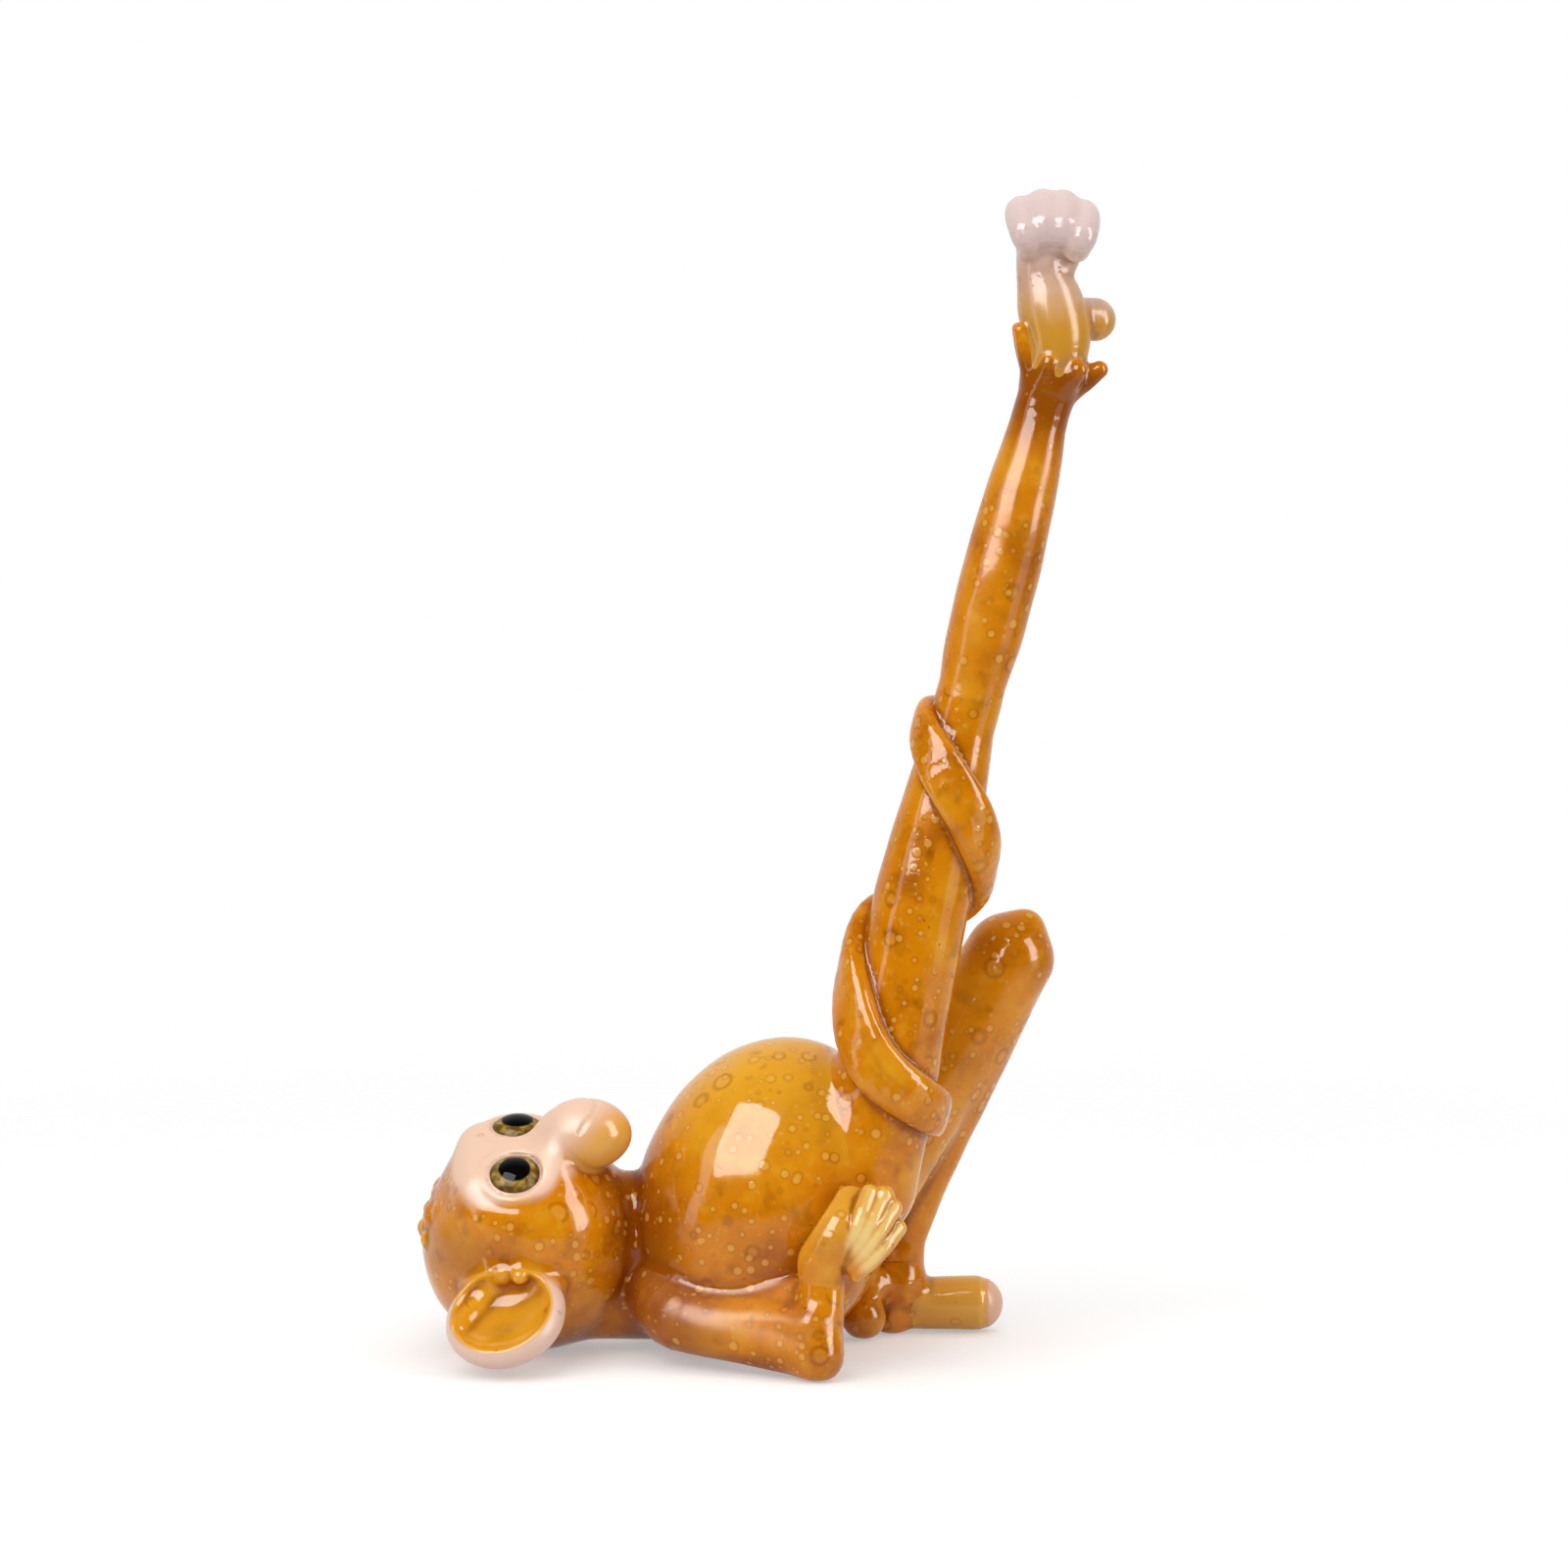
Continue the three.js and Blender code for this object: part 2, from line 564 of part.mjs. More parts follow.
function bentFootForm(grow) {
  const parts = [egg(bentFootCentre, bentFootHalf, upright, grow, SMALL_EGG_SIDES)];
  for (let i = 0; i < TOE_COUNT; i++) {
    const y = bentFootCentre.y + (i - (TOE_COUNT - 1) / 2) * (BENT_FOOT_WIDTH / TOE_COUNT);
    const start = vector(bentFootCentre.x, y, BENT_FOOT_HEIGHT / 2);
    const tip = vector(bentFootCentre.x + bentFootHalf.x - BENT_TOE_DIAMETER / 2, y, BENT_TOE_DIAMETER / 2);
    parts.push(digit([start, tip], [BENT_TOE_DIAMETER, BENT_TOE_DIAMETER], grow));
  }
  return join(...parts);
}

function bentBigToeForm(grow) {
  const height = BENT_BIG_TOE_DIAMETER / 2;
  const tip = vector(bentAnkle.x - BENT_BIG_TOE_BACK, bentAnkle.y - BENT_BIG_TOE_IN, height);
  const heel = bentFootCentre.clone().setZ(height);
  const facets = { grow, rings: 3, sides: BALL_SIDES };
  return limb([heel, tip], [BENT_BIG_TOE_STALK, BENT_BIG_TOE_DIAMETER], facets);
}

// Tail

/** Middle, direction and radius of the raised leg at a height along it from the hip. */
function raisedLegAt(height) {
  const onThigh = height <= RAISED_THIGH_LENGTH;
  const line = new THREE.CatmullRomCurve3(onThigh ? raisedThighLine : raisedShinLine);
  const diameters = onThigh ? RAISED_THIGH_DIAMETERS : RAISED_SHIN_DIAMETERS;
  const share = onThigh
    ? height / RAISED_THIGH_LENGTH
    : (height - RAISED_THIGH_LENGTH) / RAISED_SHIN_LENGTH;
  return { middle: line.getPointAt(share), along: line.getTangentAt(share), radius: girth(diameters, share) };
}

/** Line of the tail: out of the rump, then a helix that rests on the leg. */
function tailLine() {
  const steps = Math.round(TAIL_TURNS * TAIL_STEPS_PER_TURN);
  const line = [];
  for (let i = 0; i <= steps; i++) {
    const share = i / steps;
    const leg = raisedLegAt(THREE.MathUtils.lerp(TAIL_FIRST_HEIGHT, TAIL_LAST_HEIGHT, share));
    const around = TAIL_START_ANGLE + TAIL_TURNS * 360 * share;
    const rise = THREE.MathUtils.smoothstep(share, 0, TAIL_ROOT_SHARE);
    const stand = leg.radius + THREE.MathUtils.lerp(TAIL_ROOT_LIFT, TAIL_LIFT, rise);
    const right = X_AXIS.clone().addScaledVector(leg.along, -leg.along.x).normalize();
    const back = leg.along.clone().cross(right);
    leg.middle.addScaledVector(right, stand * cosine(around)).addScaledVector(back, -stand * sine(around));
    line.push(leg.middle);
  }
  const inward = torsoCentre.clone().sub(line[0]).normalize();
  return [line[0].clone().addScaledVector(inward, TAIL_ROOT_DEPTH), ...line];
}

const tailPath = tailLine();
const tailRings = Math.round(TAIL_TURNS * TAIL_RINGS_PER_TURN);
const tailFacets = { rings: tailRings, domes: 2, sides: TAIL_SIDES };
const tailForm = (grow) => limb(tailPath, TAIL_DIAMETERS, { grow, ...tailFacets });

// Least gap between turns of the tail, from points half a turn or more apart
const apart = Math.round(TAIL_STEPS_PER_TURN / 2);
const tailGaps = tailPath.flatMap((point, i) =>
  tailPath.slice(i + apart).map((other) => point.distanceTo(other) - TAIL_DIAMETERS[0]));
console.log(`least gap of the tail to itself: ${Math.min(...tailGaps).toFixed(1)} mm`);

// Glazes

const GLAZE_ROUGHNESS = 0.12;
const glaze = (color) =>
  new THREE.MeshStandardMaterial({ color, roughness: GLAZE_ROUGHNESS, metalness: 0 });
const AMBER = 0xc67a12;
const HONEY = 0xd39a3c;
const BLUSH = 0xdcb8ae;
const EYE = 0x2a2412;

// Assembly, in the order in which the pieces are stuck on

const figure = new THREE.Group();
const headGroup = new THREE.Group();
headGroup.position.copy(headCentre);
headGroup.quaternion.copy(headTurn);

/** Group placed at the joint that carries a limb. */
function limbGroup(joint) {
  const group = new THREE.Group();
  group.position.copy(joint);
  return group;
}

const rightArm = limbGroup(armJoints(-1).shoulder);
const leftArm = limbGroup(armJoints(1).shoulder);
const raisedLeg = limbGroup(raisedHip);
const bentLeg = limbGroup(bentHip);
figure.add(headGroup, rightArm, leftArm, raisedLeg, bentLeg);

const plan = [
  { name: 'torso_shell', form: torsoForm, hollow: torsoHollow, colour: AMBER, group: figure },
  { name: 'head_shell', form: headForm, hollow: headHollow, colour: AMBER, group: headGroup },
  { name: 'right_eye', form: (grow) => eyeForm(-1, grow), colour: EYE, group: headGroup },
  { name: 'left_eye', form: (grow) => eyeForm(1, grow), colour: EYE, group: headGroup },
  { name: 'right_ear', form: (grow) => earForm(-1, grow), colour: AMBER, group: headGroup },
  { name: 'left_ear', form: (grow) => earForm(1, grow), colour: AMBER, group: headGroup },
  { name: 'crown_tuft', form: tuftForm, colour: AMBER, group: headGroup },
  { name: 'raised_thigh', form: raisedThighForm, colour: AMBER, group: raisedLeg },
  { name: 'raised_shin', form: raisedShinForm, colour: AMBER, group: raisedLeg },
  { name: 'raised_foot', form: raisedFootForm, colour: BLUSH, group: raisedLeg },
  { name: 'raised_big_toe', form: raisedBigToeForm, colour: BLUSH, group: raisedLeg },
  {
    name: 'raised_fur_cuff',
    form: (grow) => cuffForm(raisedAnkle, raisedAlong, raisedTufts, grow),
    colour: AMBER,
    group: raisedLeg,
  },
  { name: 'bent_thigh', form: bentThighForm, colour: AMBER, group: bentLeg },
  { name: 'bent_shin', form: bentShinForm, colour: AMBER, group: bentLeg },
  { name: 'bent_foot', form: bentFootForm, colour: HONEY, group: bentLeg },
  { name: 'bent_big_toe', form: bentBigToeForm, colour: HONEY, group: bentLeg },
  {
    name: 'bent_fur_cuff',
    form: (grow) => cuffForm(bentAnkle, DOWN, bentTufts, grow),
    colour: AMBER,
    group: bentLeg,
  },
  { name: 'tail', form: tailForm, colour: AMBER, group: raisedLeg },
  { name: 'right_upper_arm', form: (grow) => upperArmForm(-1, grow), colour: AMBER, group: rightArm },
  { name: 'right_forearm', form: (grow) => forearmForm(-1, grow), colour: AMBER, group: rightArm },
  { name: 'right_hand', form: (grow) => handForm(-1, grow), colour: HONEY, group: rightArm },
  { name: 'left_upper_arm', form: (grow) => upperArmForm(1, grow), colour: AMBER, group: leftArm },
  { name: 'left_forearm', form: (grow) => forearmForm(1, grow), colour: AMBER, group: leftArm },
  { name: 'left_hand', form: (grow) => handForm(1, grow), colour: HONEY, group: leftArm },
];

/** Largest lump of a trimmed piece, without the crumbs that trimming can leave. */
function mainLump(solid) {
  return solid.decompose().reduce((most, lump) => (lump.volume() > most.volume() ? lump : most));
}

/** Named mesh of a solid in its group's own frame. */
function meshOf(name, solid, colour, group) {
  const { vertProperties, triVerts } = solid.getMesh();
  const geometry = new THREE.BufferGeometry();
  geometry.setAttribute('position', new THREE.BufferAttribute(vertProperties, 3));
  geometry.setIndex(new THREE.BufferAttribute(triVerts, 1));
  group.updateWorldMatrix(true, false);
  geometry.applyMatrix4(group.matrixWorld.clone().invert());
  geometry.computeVertexNormals();
  const mesh = new THREE.Mesh(geometry, glaze(colour));
  mesh.name = name;
  return mesh;
}

const ground = below(0);
const fitted = [];
for (const { name, form, hollow, colour, group } of plan) {
  let solid = form(0).subtract(ground);
  for (const neighbour of fitted) solid = solid.subtract(neighbour);
  if (hollow) solid = solid.subtract(hollow());
  group.add(meshOf(name, mainLump(solid).simplify(SMALLEST_EDGE), colour, group));
  fitted.push(form(SLIP_GAP));
}

export default figure;
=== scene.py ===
"""Looks of a glazed ceramic monkey figurine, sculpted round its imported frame.

The clay pieces are smooth solids known by their signed distance, in millimetres. The glaze fills the joints
between them, so neighbouring skins melt into each other, and every piece keeps a closed mesh of its own.
"""

from __future__ import annotations

import logging
import math
from concurrent.futures import ThreadPoolExecutor
from dataclasses import dataclass, field
from enum import Enum, IntEnum
from functools import cached_property
from typing import Callable, Sequence

import bpy
import numpy as np
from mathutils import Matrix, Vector

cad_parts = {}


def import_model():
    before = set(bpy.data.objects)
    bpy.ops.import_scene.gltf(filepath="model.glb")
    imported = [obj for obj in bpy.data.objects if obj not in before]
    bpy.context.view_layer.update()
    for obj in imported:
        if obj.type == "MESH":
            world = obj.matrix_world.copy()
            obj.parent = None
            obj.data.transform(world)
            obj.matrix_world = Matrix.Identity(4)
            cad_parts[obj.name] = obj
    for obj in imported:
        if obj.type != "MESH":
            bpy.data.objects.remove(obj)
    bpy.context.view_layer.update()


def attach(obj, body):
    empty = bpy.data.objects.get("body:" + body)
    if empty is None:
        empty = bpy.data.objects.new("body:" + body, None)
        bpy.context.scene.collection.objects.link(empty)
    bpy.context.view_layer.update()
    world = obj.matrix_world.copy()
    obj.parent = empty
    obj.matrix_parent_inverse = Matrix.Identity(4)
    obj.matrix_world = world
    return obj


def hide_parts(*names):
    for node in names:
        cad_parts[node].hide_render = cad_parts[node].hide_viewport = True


LOG = logging.getLogger("figurine")
MM = 0.001
BODY = "root"
WORKERS = 4
TINY = 1e-6

Array = np.ndarray
Spots = np.ndarray
Box = tuple[Array, Array]
Masks = dict[str, Array]
Socket = bpy.types.NodeSocket


class Side(IntEnum):
    """Sides of the figurine, each with the sign that it gives to y."""

    RIGHT = -1
    LEFT = 1

    @property
    def word(self) -> str:
        """The side as it stands in the names of pieces."""
        return self.name.lower()


# Small geometry


def at(x: float, y: float, z: float) -> Array:
    """Point or direction as an array."""
    return np.array((x, y, z), float)


def turn_about_x(degrees: float) -> Array:
    """Rotation about X whose columns are the turned axes."""
    c, s = math.cos(math.radians(degrees)), math.sin(math.radians(degrees))
    return np.array(((1, 0, 0), (0, c, -s), (0, s, c)))


def turn_about_y(degrees: float) -> Array:
    """Rotation about Y whose columns are the turned axes."""
    c, s = math.cos(math.radians(degrees)), math.sin(math.radians(degrees))
    return np.array(((c, 0, s), (0, 1, 0), (-s, 0, c)))


def unit(vector: Array) -> Array:
    """Vector, or rows of vectors, at length one."""
    return vector / np.maximum(np.linalg.norm(vector, axis=-1, keepdims=True), 1e-9)


def ramp(low: float, high: float, values: Array) -> Array:
    """Smooth step from 0 at low to 1 at high; low may be the larger."""
    share = np.clip((values - low) / (high - low), 0.0, 1.0)
    return share * share * (3.0 - 2.0 * share)


def smooth_union(a: Array, b: Array, width: float | Array) -> Array:
    """Join of two distances with a fillet of a given width between them."""
    overlap = np.maximum(width - np.abs(a - b), 0.0)
    return np.minimum(a, b) - overlap * overlap / (4.0 * width)


def smooth_cut(a: Array, b: Array, width: float) -> Array:
    """First solid without the second, with the edge rounded over a width."""
    return -smooth_union(-a, b, width)


def spread(values: Sequence, share: Array) -> Array:
    """Evenly spaced values read along a smooth curve.

    Args:
        values: Numbers or points, the first at share 0 and the last at share 1.
        share: Places between 0 and 1.

    Returns:
        One number or point for each place.
    """
    knots = np.asarray(values, float)
    last = len(knots) - 1
    place = np.clip(np.asarray(share, float), 0.0, 1.0) * last
    index = np.minimum(place.astype(int), last - 1)
    t = place - index
    if knots.ndim > 1:
        t = t[:, None]
    p1, p2 = knots[index], knots[index + 1]
    p0 = np.where((index > 0).reshape(t.shape), knots[np.maximum(index - 1, 0)], 2 * p1 - p2)
    p3 = np.where((index < last - 1).reshape(t.shape), knots[np.minimum(index + 2, last)], 2 * p2 - p1)
    bend = 2 * p0 - 5 * p1 + 4 * p2 - p3
    twist = 3 * p1 - p0 - 3 * p2 + p3
    return 0.5 * (2 * p1 + (p2 - p0) * t + bend * t**2 + twist * t**3)


# Solids known by their distance


class Form:
    """Solid known by its signed distance, in millimetres."""

    CARE = 9.0

    def measure(self, spots: Spots) -> Array:
        """Signed distance of each spot, negative inside."""
        raise NotImplementedError

    def corners(self) -> Box:
        """Lowest and highest corner of a box round the solid."""
        raise NotImplementedError

    def distance(self, spots: Spots) -> Array:
        """Signed distance, read only roughly for spots that are far away.

        Args:
            spots: Rows of points.

        Returns:
            One distance for each row.
        """
        low, high = self.corners()
        result = np.linalg.norm(np.maximum(np.maximum(low - spots, spots - high), 0.0), axis=1)
        near = result < self.CARE
        if near.any():
            result[near] = self.measure(spots[near])
        return result


@dataclass(frozen=True)
class Egg(Form):
    """Ellipsoid with half sizes along its own turned axes, squarish where its power is above 2."""

    centre: Array
    half: Array
    turn: Array = field(default_factory=lambda: np.eye(3))
    power: float = 2.0

    def measure(self, spots: Spots) -> Array:
        """Distance from how far the spot lies out along each axis."""
        own = np.abs((spots - self.centre) @ self.turn) / self.half
        out = np.maximum((own**self.power).sum(axis=1) ** (1 / self.power), TINY)
        slope = np.linalg.norm((own / out[:, None]) ** (self.power - 1) / self.half, axis=1)
        return (out - 1.0) / np.maximum(slope, TINY)

    def rise(self, x: float, y: float) -> float:
        """Height of a plain ellipsoid's skin above its middle, at a place along its own axes."""
        level = 1 - (x / self.half[0]) ** 2 - (y / self.half[1]) ** 2
        return self.half[2] * math.sqrt(max(level, 0.0))

    def corners(self) -> Box:
        """Box of the turned ellipsoid."""
        reach = np.linalg.norm(self.turn * self.half, axis=1)
        return self.centre - reach, self.centre + reach


def ball(centre: Array, diameter: float) -> Egg:
    """Ball about a centre."""
    return Egg(centre, np.full(3, diameter / 2))


@dataclass(frozen=True)
class Limb(Form):
    """Round roll of clay along a line, with diameters spread evenly over its length.

    With more than one step between its points, the line is a smooth curve.
    """

    line: tuple
    diameters: tuple
    steps: int = 1

    @cached_property
    def knots(self) -> Array:
        """Corners of the fine line that the roll follows."""
        count = self.steps * (len(self.line) - 1)
        if self.steps == 1:
            return np.asarray(self.line, float)
        return spread(self.line, np.linspace(0.0, 1.0, count + 1))

    def nearest(self, spots: Spots) -> tuple[Array, Array, Array]:
        """Finds the nearest place on the line.

        Args:
            spots: Rows of points.

        Returns:
            The distance from the line, the place as a share of its length, and the place counted in knots.
        """
        knots = self.knots
        lengths = np.linalg.norm(np.diff(knots, axis=0), axis=1)
        best = np.full(len(spots), np.inf)
        count = np.zeros(len(spots))
        for index, length in enumerate(lengths):
            along = (knots[index + 1] - knots[index]) / length
            offset = spots - knots[index]
            place = np.clip(offset @ along, 0.0, length)
            gap = ((offset - place[:, None] * along) ** 2).sum(axis=1)
            closer = gap < best
            best = np.where(closer, gap, best)
            count = np.where(closer, index + place / length, count)
        travelled = np.concatenate(((0.0,), np.cumsum(lengths))) / lengths.sum()
        return np.sqrt(best), np.interp(count, np.arange(len(knots)), travelled), count

    def along(self, rows: Array, count: Array) -> Array:
        """Rows that belong to the knots, read at places counted in knots."""
        low = np.minimum(count.astype(int), len(self.knots) - 2)
        rest = (count - low)[:, None]
        return rows[low] * (1 - rest) + rows[low + 1] * rest

    def measure(self, spots: Spots) -> Array:
        """Distance from the nearest place on the line, less the radius there."""
        gap, share, _ = self.nearest(spots)
        return gap - spread(self.diameters, share) / 2

    def corners(self) -> Box:
        """Box of the line, widened by the thickest radius."""
        reach = max(self.diameters) / 2
        return self.knots.min(axis=0) - reach, self.knots.max(axis=0) + reach


@dataclass(frozen=True)
class Band(Limb):
    """Flattened roll of clay: its diameters are its widths, and each knot knows which way is out."""

    outs: tuple = ()
    flat: float = 0.6
    square: float = 2.6

    def measure(self, spots: Spots) -> Array:
        """Distance from a squarish oval about the nearest place on the line."""
        gap, share, count = self.nearest(spots)
        half = spread(self.diameters, share) / 2
        out = unit(self.along(np.asarray(self.outs), count))
        height = np.abs(((spots - self.along(self.knots, count)) * out).sum(axis=1))
        across = np.sqrt(np.maximum(gap**2 - height**2, 0.0))
        thick = self.flat * half
        size = ((height / thick) ** self.square + (across / half) ** self.square) ** (1 / self.square)
        plain = np.maximum(np.hypot(height / thick, across / half), TINY)
        slope = np.hypot(height / thick**2, across / half**2) / plain
        return (size - 1.0) / np.maximum(slope, TINY)


@dataclass(frozen=True)
class Plate(Form):
    """Rounded triangle of clay."""

    corners_at: tuple
    thickness: float

    def measure(self, spots: Spots) -> Array:
        """Distance from the flat triangle, less half the thickness."""
        a, b, c = self.corners_at
        facing = np.cross(b - a, c - a)
        inside = np.ones(len(spots), bool)
        edge = np.full(len(spots), np.inf)
        for start, end in ((a, b), (b, c), (c, a)):
            line = end - start
            offset = spots - start
            inside &= (offset @ np.cross(facing, line)) > 0
            place = np.clip(offset @ line / (line @ line), 0.0, 1.0)
            edge = np.minimum(edge, np.linalg.norm(offset - place[:, None] * line, axis=1))
        flat = np.abs((spots - a) @ unit(facing))
        return np.where(inside, flat, edge) - self.thickness / 2

    def corners(self) -> Box:
        """Box of the triangle, widened by half the thickness."""
        reach = self.thickness / 2
        return np.min(self.corners_at, axis=0) - reach, np.max(self.corners_at, axis=0) + reach


@dataclass(frozen=True)
class Ring(Form):
    """Round ring of clay that lies flat in its own frame."""

    centre: Array
    turn: Array
    diameter: float
    thickness: float

    def measure(self, spots: Spots) -> Array:
        """Distance from the ring's middle circle, less its radius."""
        own = (spots - self.centre) @ self.turn
        out = np.linalg.norm(own[:, :2], axis=1) - self.diameter / 2
        return np.hypot(out, own[:, 2]) - self.thickness / 2

    def corners(self) -> Box:
        """Cube round the ring."""
        reach = (self.diameter + self.thickness) / 2
        return self.centre - reach, self.centre + reach


@dataclass(frozen=True)
class Melted(Form):
    """Several solids melted into one with a fillet, whose width may change from place to place."""

    forms: tuple
    width: float | Callable[[Spots], Array]

    def measure(self, spots: Spots) -> Array:
        """Distances joined one after another."""
        width = self.width(spots) if callable(self.width) else self.width
        merged = self.forms[0].distance(spots)
        for form in self.forms[1:]:
            merged = smooth_union(merged, form.distance(spots), width)
        return merged

    def corners(self) -> Box:
        """Box round all of them."""
        boxes = [form.corners() for form in self.forms]
        return np.min([low for low, _ in boxes], axis=0), np.max([high for _, high in boxes], axis=0)


@dataclass(frozen=True)
class Carved(Form):
    """Solid with another one taken out of it."""

    form: Form
    tool: Form
    width: float

    def measure(self, spots: Spots) -> Array:
        """Distance with the tool's shape cut away."""
        return smooth_cut(self.form.measure(spots), self.tool.distance(spots), self.width)

    def corners(self) -> Box:
        """Box of the uncut solid."""
        return self.form.corners()


# Pieces and the clay they share


class Corner(IntEnum):
    """What a corner of a mesh lies on: the skin, a wall to a neighbour, or the crease between them."""

    SKIN = 0
    CREASE = 1
    WALL = 2


class Finish(Enum):
    """Glaze slots of the figurine."""

    AMBER = "amber_glaze"
    HONEY = "honey_glaze"
    BLUSH = "blush_glaze"
    EYE = "eye_glaze"


@dataclass
class Piece:
    """One piece of clay: its node, solid and glaze, the fillet that welds it on, and how fine its mesh is."""

    node: str
    form: Form
    finish: Finish
    weld: float
    grain: float
    paint: Callable[[Spots], Masks] | None = None


@dataclass
class Skin:
    """Mesh of a piece in millimetres, with what the glaze needs to know at each corner."""

    spots: Spots
    faces: Array
    normals: Array
    outer: Array
    masks: Masks


class Clay:
    """All pieces together, and the meshes that are taken from them."""

    # Rounding at the ground, what an earlier piece takes from a later one, and slow ripples in the clay
    GROUND_EDGE = 1.2
    LEAD = 0.4
    RIPPLE = 0.04
    RIPPLE_WAVES = ((0.31, 0.17, 0.23), (-0.19, 0.34, 0.27), (0.24, -0.29, 0.36))
    # How corners settle: reach and steps are counted in grains
    NUDGE = 0.05
    SETTLE_ROUNDS = 2
    CREASE_REACH = 0.8
    LONGEST_STEP = 0.7
    LEAST_SLOPE = 1e-3
    LEAST_CROSSING = 0.05
    # Fine steps in a coarse one, how many coarse ones are read finely, and what is mended in the mesh
    COARSE = 4
    CLOSE = 1.8
    FILL_ROUNDS = 12
    CRUMB = 60
    # How far off the curvature is read, and how strongly the glaze pools in hollows or thins over edges
    FINE_CREASE = 1.3
    BROAD_CREASE = 3.5
    FINE_POOL = 1.4
    BROAD_POOL = 2.2
    THIN_GAIN = 1.6
    THIN_FROM = 0.32
    TETRAHEDRON = np.array(((1, 1, 1), (1, -1, -1), (-1, 1, -1), (-1, -1, 1)), float)

    def __init__(self, pieces: list[Piece]) -> None:
        """Keeps the pieces in the order in which they are stuck together."""
        self.pieces = pieces
        self.boxes = [piece.form.corners() for piece in pieces]

    def near(self, index: int) -> list[int]:
        """Pieces whose boxes come close to a piece's box."""
        reach = Form.CARE
        low, high = self.boxes[index]
        return [
            other
            for other, (start, end) in enumerate(self.boxes)
            if (start - reach < high).all() and (end + reach > low).all()
        ]

    def fields(self, spots: Spots, index: int, near: list[int]) -> tuple[Array, Array]:
        """Distance to the common skin, and to the wall between a piece and the others.

        Args:
            spots: Rows of points.
            index: The piece.
            near: The pieces that count here, in order.

        Returns:
            Skin distances and wall distances, negative inside the piece.
        """
        own = None
        others = np.full(len(spots), np.inf)
        merged = None
        for other in near:
            piece = self.pieces[other]
            gap = piece.form.distance(spots)
            merged = gap if merged is None else smooth_union(merged, gap, piece.weld)
            if other == index:
                own = gap
            else:
                others = np.minimum(others, gap + (self.LEAD if other > index else -self.LEAD))
        for wave in self.RIPPLE_WAVES:
            merged = merged + self.RIPPLE * np.sin(spots @ np.array(wave))
        merged = smooth_cut(merged, spots[:, 2], self.GROUND_EDGE)
        return merged, (own - others) / 2

    def slopes(self, spots: Spots, index: int, near: list[int]) -> tuple[Array, Array]:
        """Gradients of the skin and wall distances."""
        skin = np.zeros_like(spots)
        wall = np.zeros_like(spots)
        for corner in self.TETRAHEDRON:
            outer, inner = self.fields(spots + self.NUDGE * corner, index, near)
            skin += outer[:, None] * corner
            wall += inner[:, None] * corner
        return skin / (4 * self.NUDGE), wall / (4 * self.NUDGE)

    def settle(self, spots: Spots, index: int, near: list[int]) -> tuple[Spots, Array]:
        """Moves mesh corners exactly onto the skin, the wall, or the crease where they meet.

        Args:
            spots: Corners close to their places.
            index: The piece.
            near: The pieces that count here.

        Returns:
            The corners, and what each of them lies on.
        """
        grain = self.pieces[index].grain
        kind = None
        for _ in range(self.SETTLE_ROUNDS):
            skin, wall = self.fields(spots, index, near)
            skin_slope, wall_slope = self.slopes(spots, index, near)
            skin_size = np.maximum((skin_slope**2).sum(axis=1), self.LEAST_SLOPE)
            wall_size = np.maximum((wall_slope**2).sum(axis=1), self.LEAST_SLOPE)
            if kind is None:
                by_skin = np.abs(skin) < self.CREASE_REACH * grain
                by_wall = np.abs(wall) < self.CREASE_REACH * grain * np.sqrt(wall_size)
                kind = np.where(skin > wall, Corner.SKIN, Corner.WALL)
                kind[by_skin & by_wall] = Corner.CREASE
            step = np.zeros_like(spots)
            on_skin, on_wall, on_both = (kind == place for place in (Corner.SKIN, Corner.WALL, Corner.CREASE))
            step[on_skin] = (-skin / skin_size)[on_skin, None] * skin_slope[on_skin]
            step[on_wall] = (-wall / wall_size)[on_wall, None] * wall_slope[on_wall]
            cross = (skin_slope * wall_slope).sum(axis=1)
            size = np.maximum(skin_size * wall_size - cross**2, self.LEAST_CROSSING)
            skin_share = (-skin * wall_size + wall * cross) / size
            wall_share = (-wall * skin_size + skin * cross) / size
            both = skin_share[:, None] * skin_slope + wall_share[:, None] * wall_slope
            step[on_both] = both[on_both]
            length = np.linalg.norm(step, axis=1, keepdims=True)
            spots = spots + step * np.minimum(1.0, self.LONGEST_STEP * grain / np.maximum(length, 1e-9))
        return spots, kind

    def sculpt(self, index: int) -> Skin:
        """Makes the mesh of one piece.

        Args:
            index: The piece.

        Returns:
            Its skin, with normals that run on over the joints to its neighbours.
        """
        piece = self.pieces[index]
        near = self.near(index)
        low, high = self.boxes[index]
        margin = 2 * piece.grain + piece.weld / 2
        low, high = low - margin, high + margin
        low[2] = max(low[2], -2 * piece.grain)
        values, step = self.sample(index, near, low, high)
        values = closed_up(values, self.FILL_ROUNDS)
        spots, faces = without_crumbs(*net(values, low, step), self.CRUMB)
        spots, kind = self.settle(spots, index, near)
        spots = relax(spots, faces, kind == Corner.SKIN)
        spots, kind = self.settle(spots, index, near)
        skin_slope, wall_slope = self.slopes(spots, index, near)
        normals = unit(skin_slope)
        flat = face_normals(spots, faces)
        towards_skin = np.abs((flat * unit(normals[faces].mean(axis=1))).sum(axis=1))
        towards_wall = np.abs((flat * unit(unit(wall_slope)[faces].mean(axis=1))).sum(axis=1))
        on_skin, on_wall = ((kind[faces] == place).any(axis=1) for place in (Corner.SKIN, Corner.WALL))
        outer = ~on_wall & (on_skin | (towards_skin >= towards_wall))
        masks = self.creases(spots, index, near)
        if piece.paint:
            masks.update(piece.paint(spots))
        return Skin(spots, faces, normals, outer, masks)

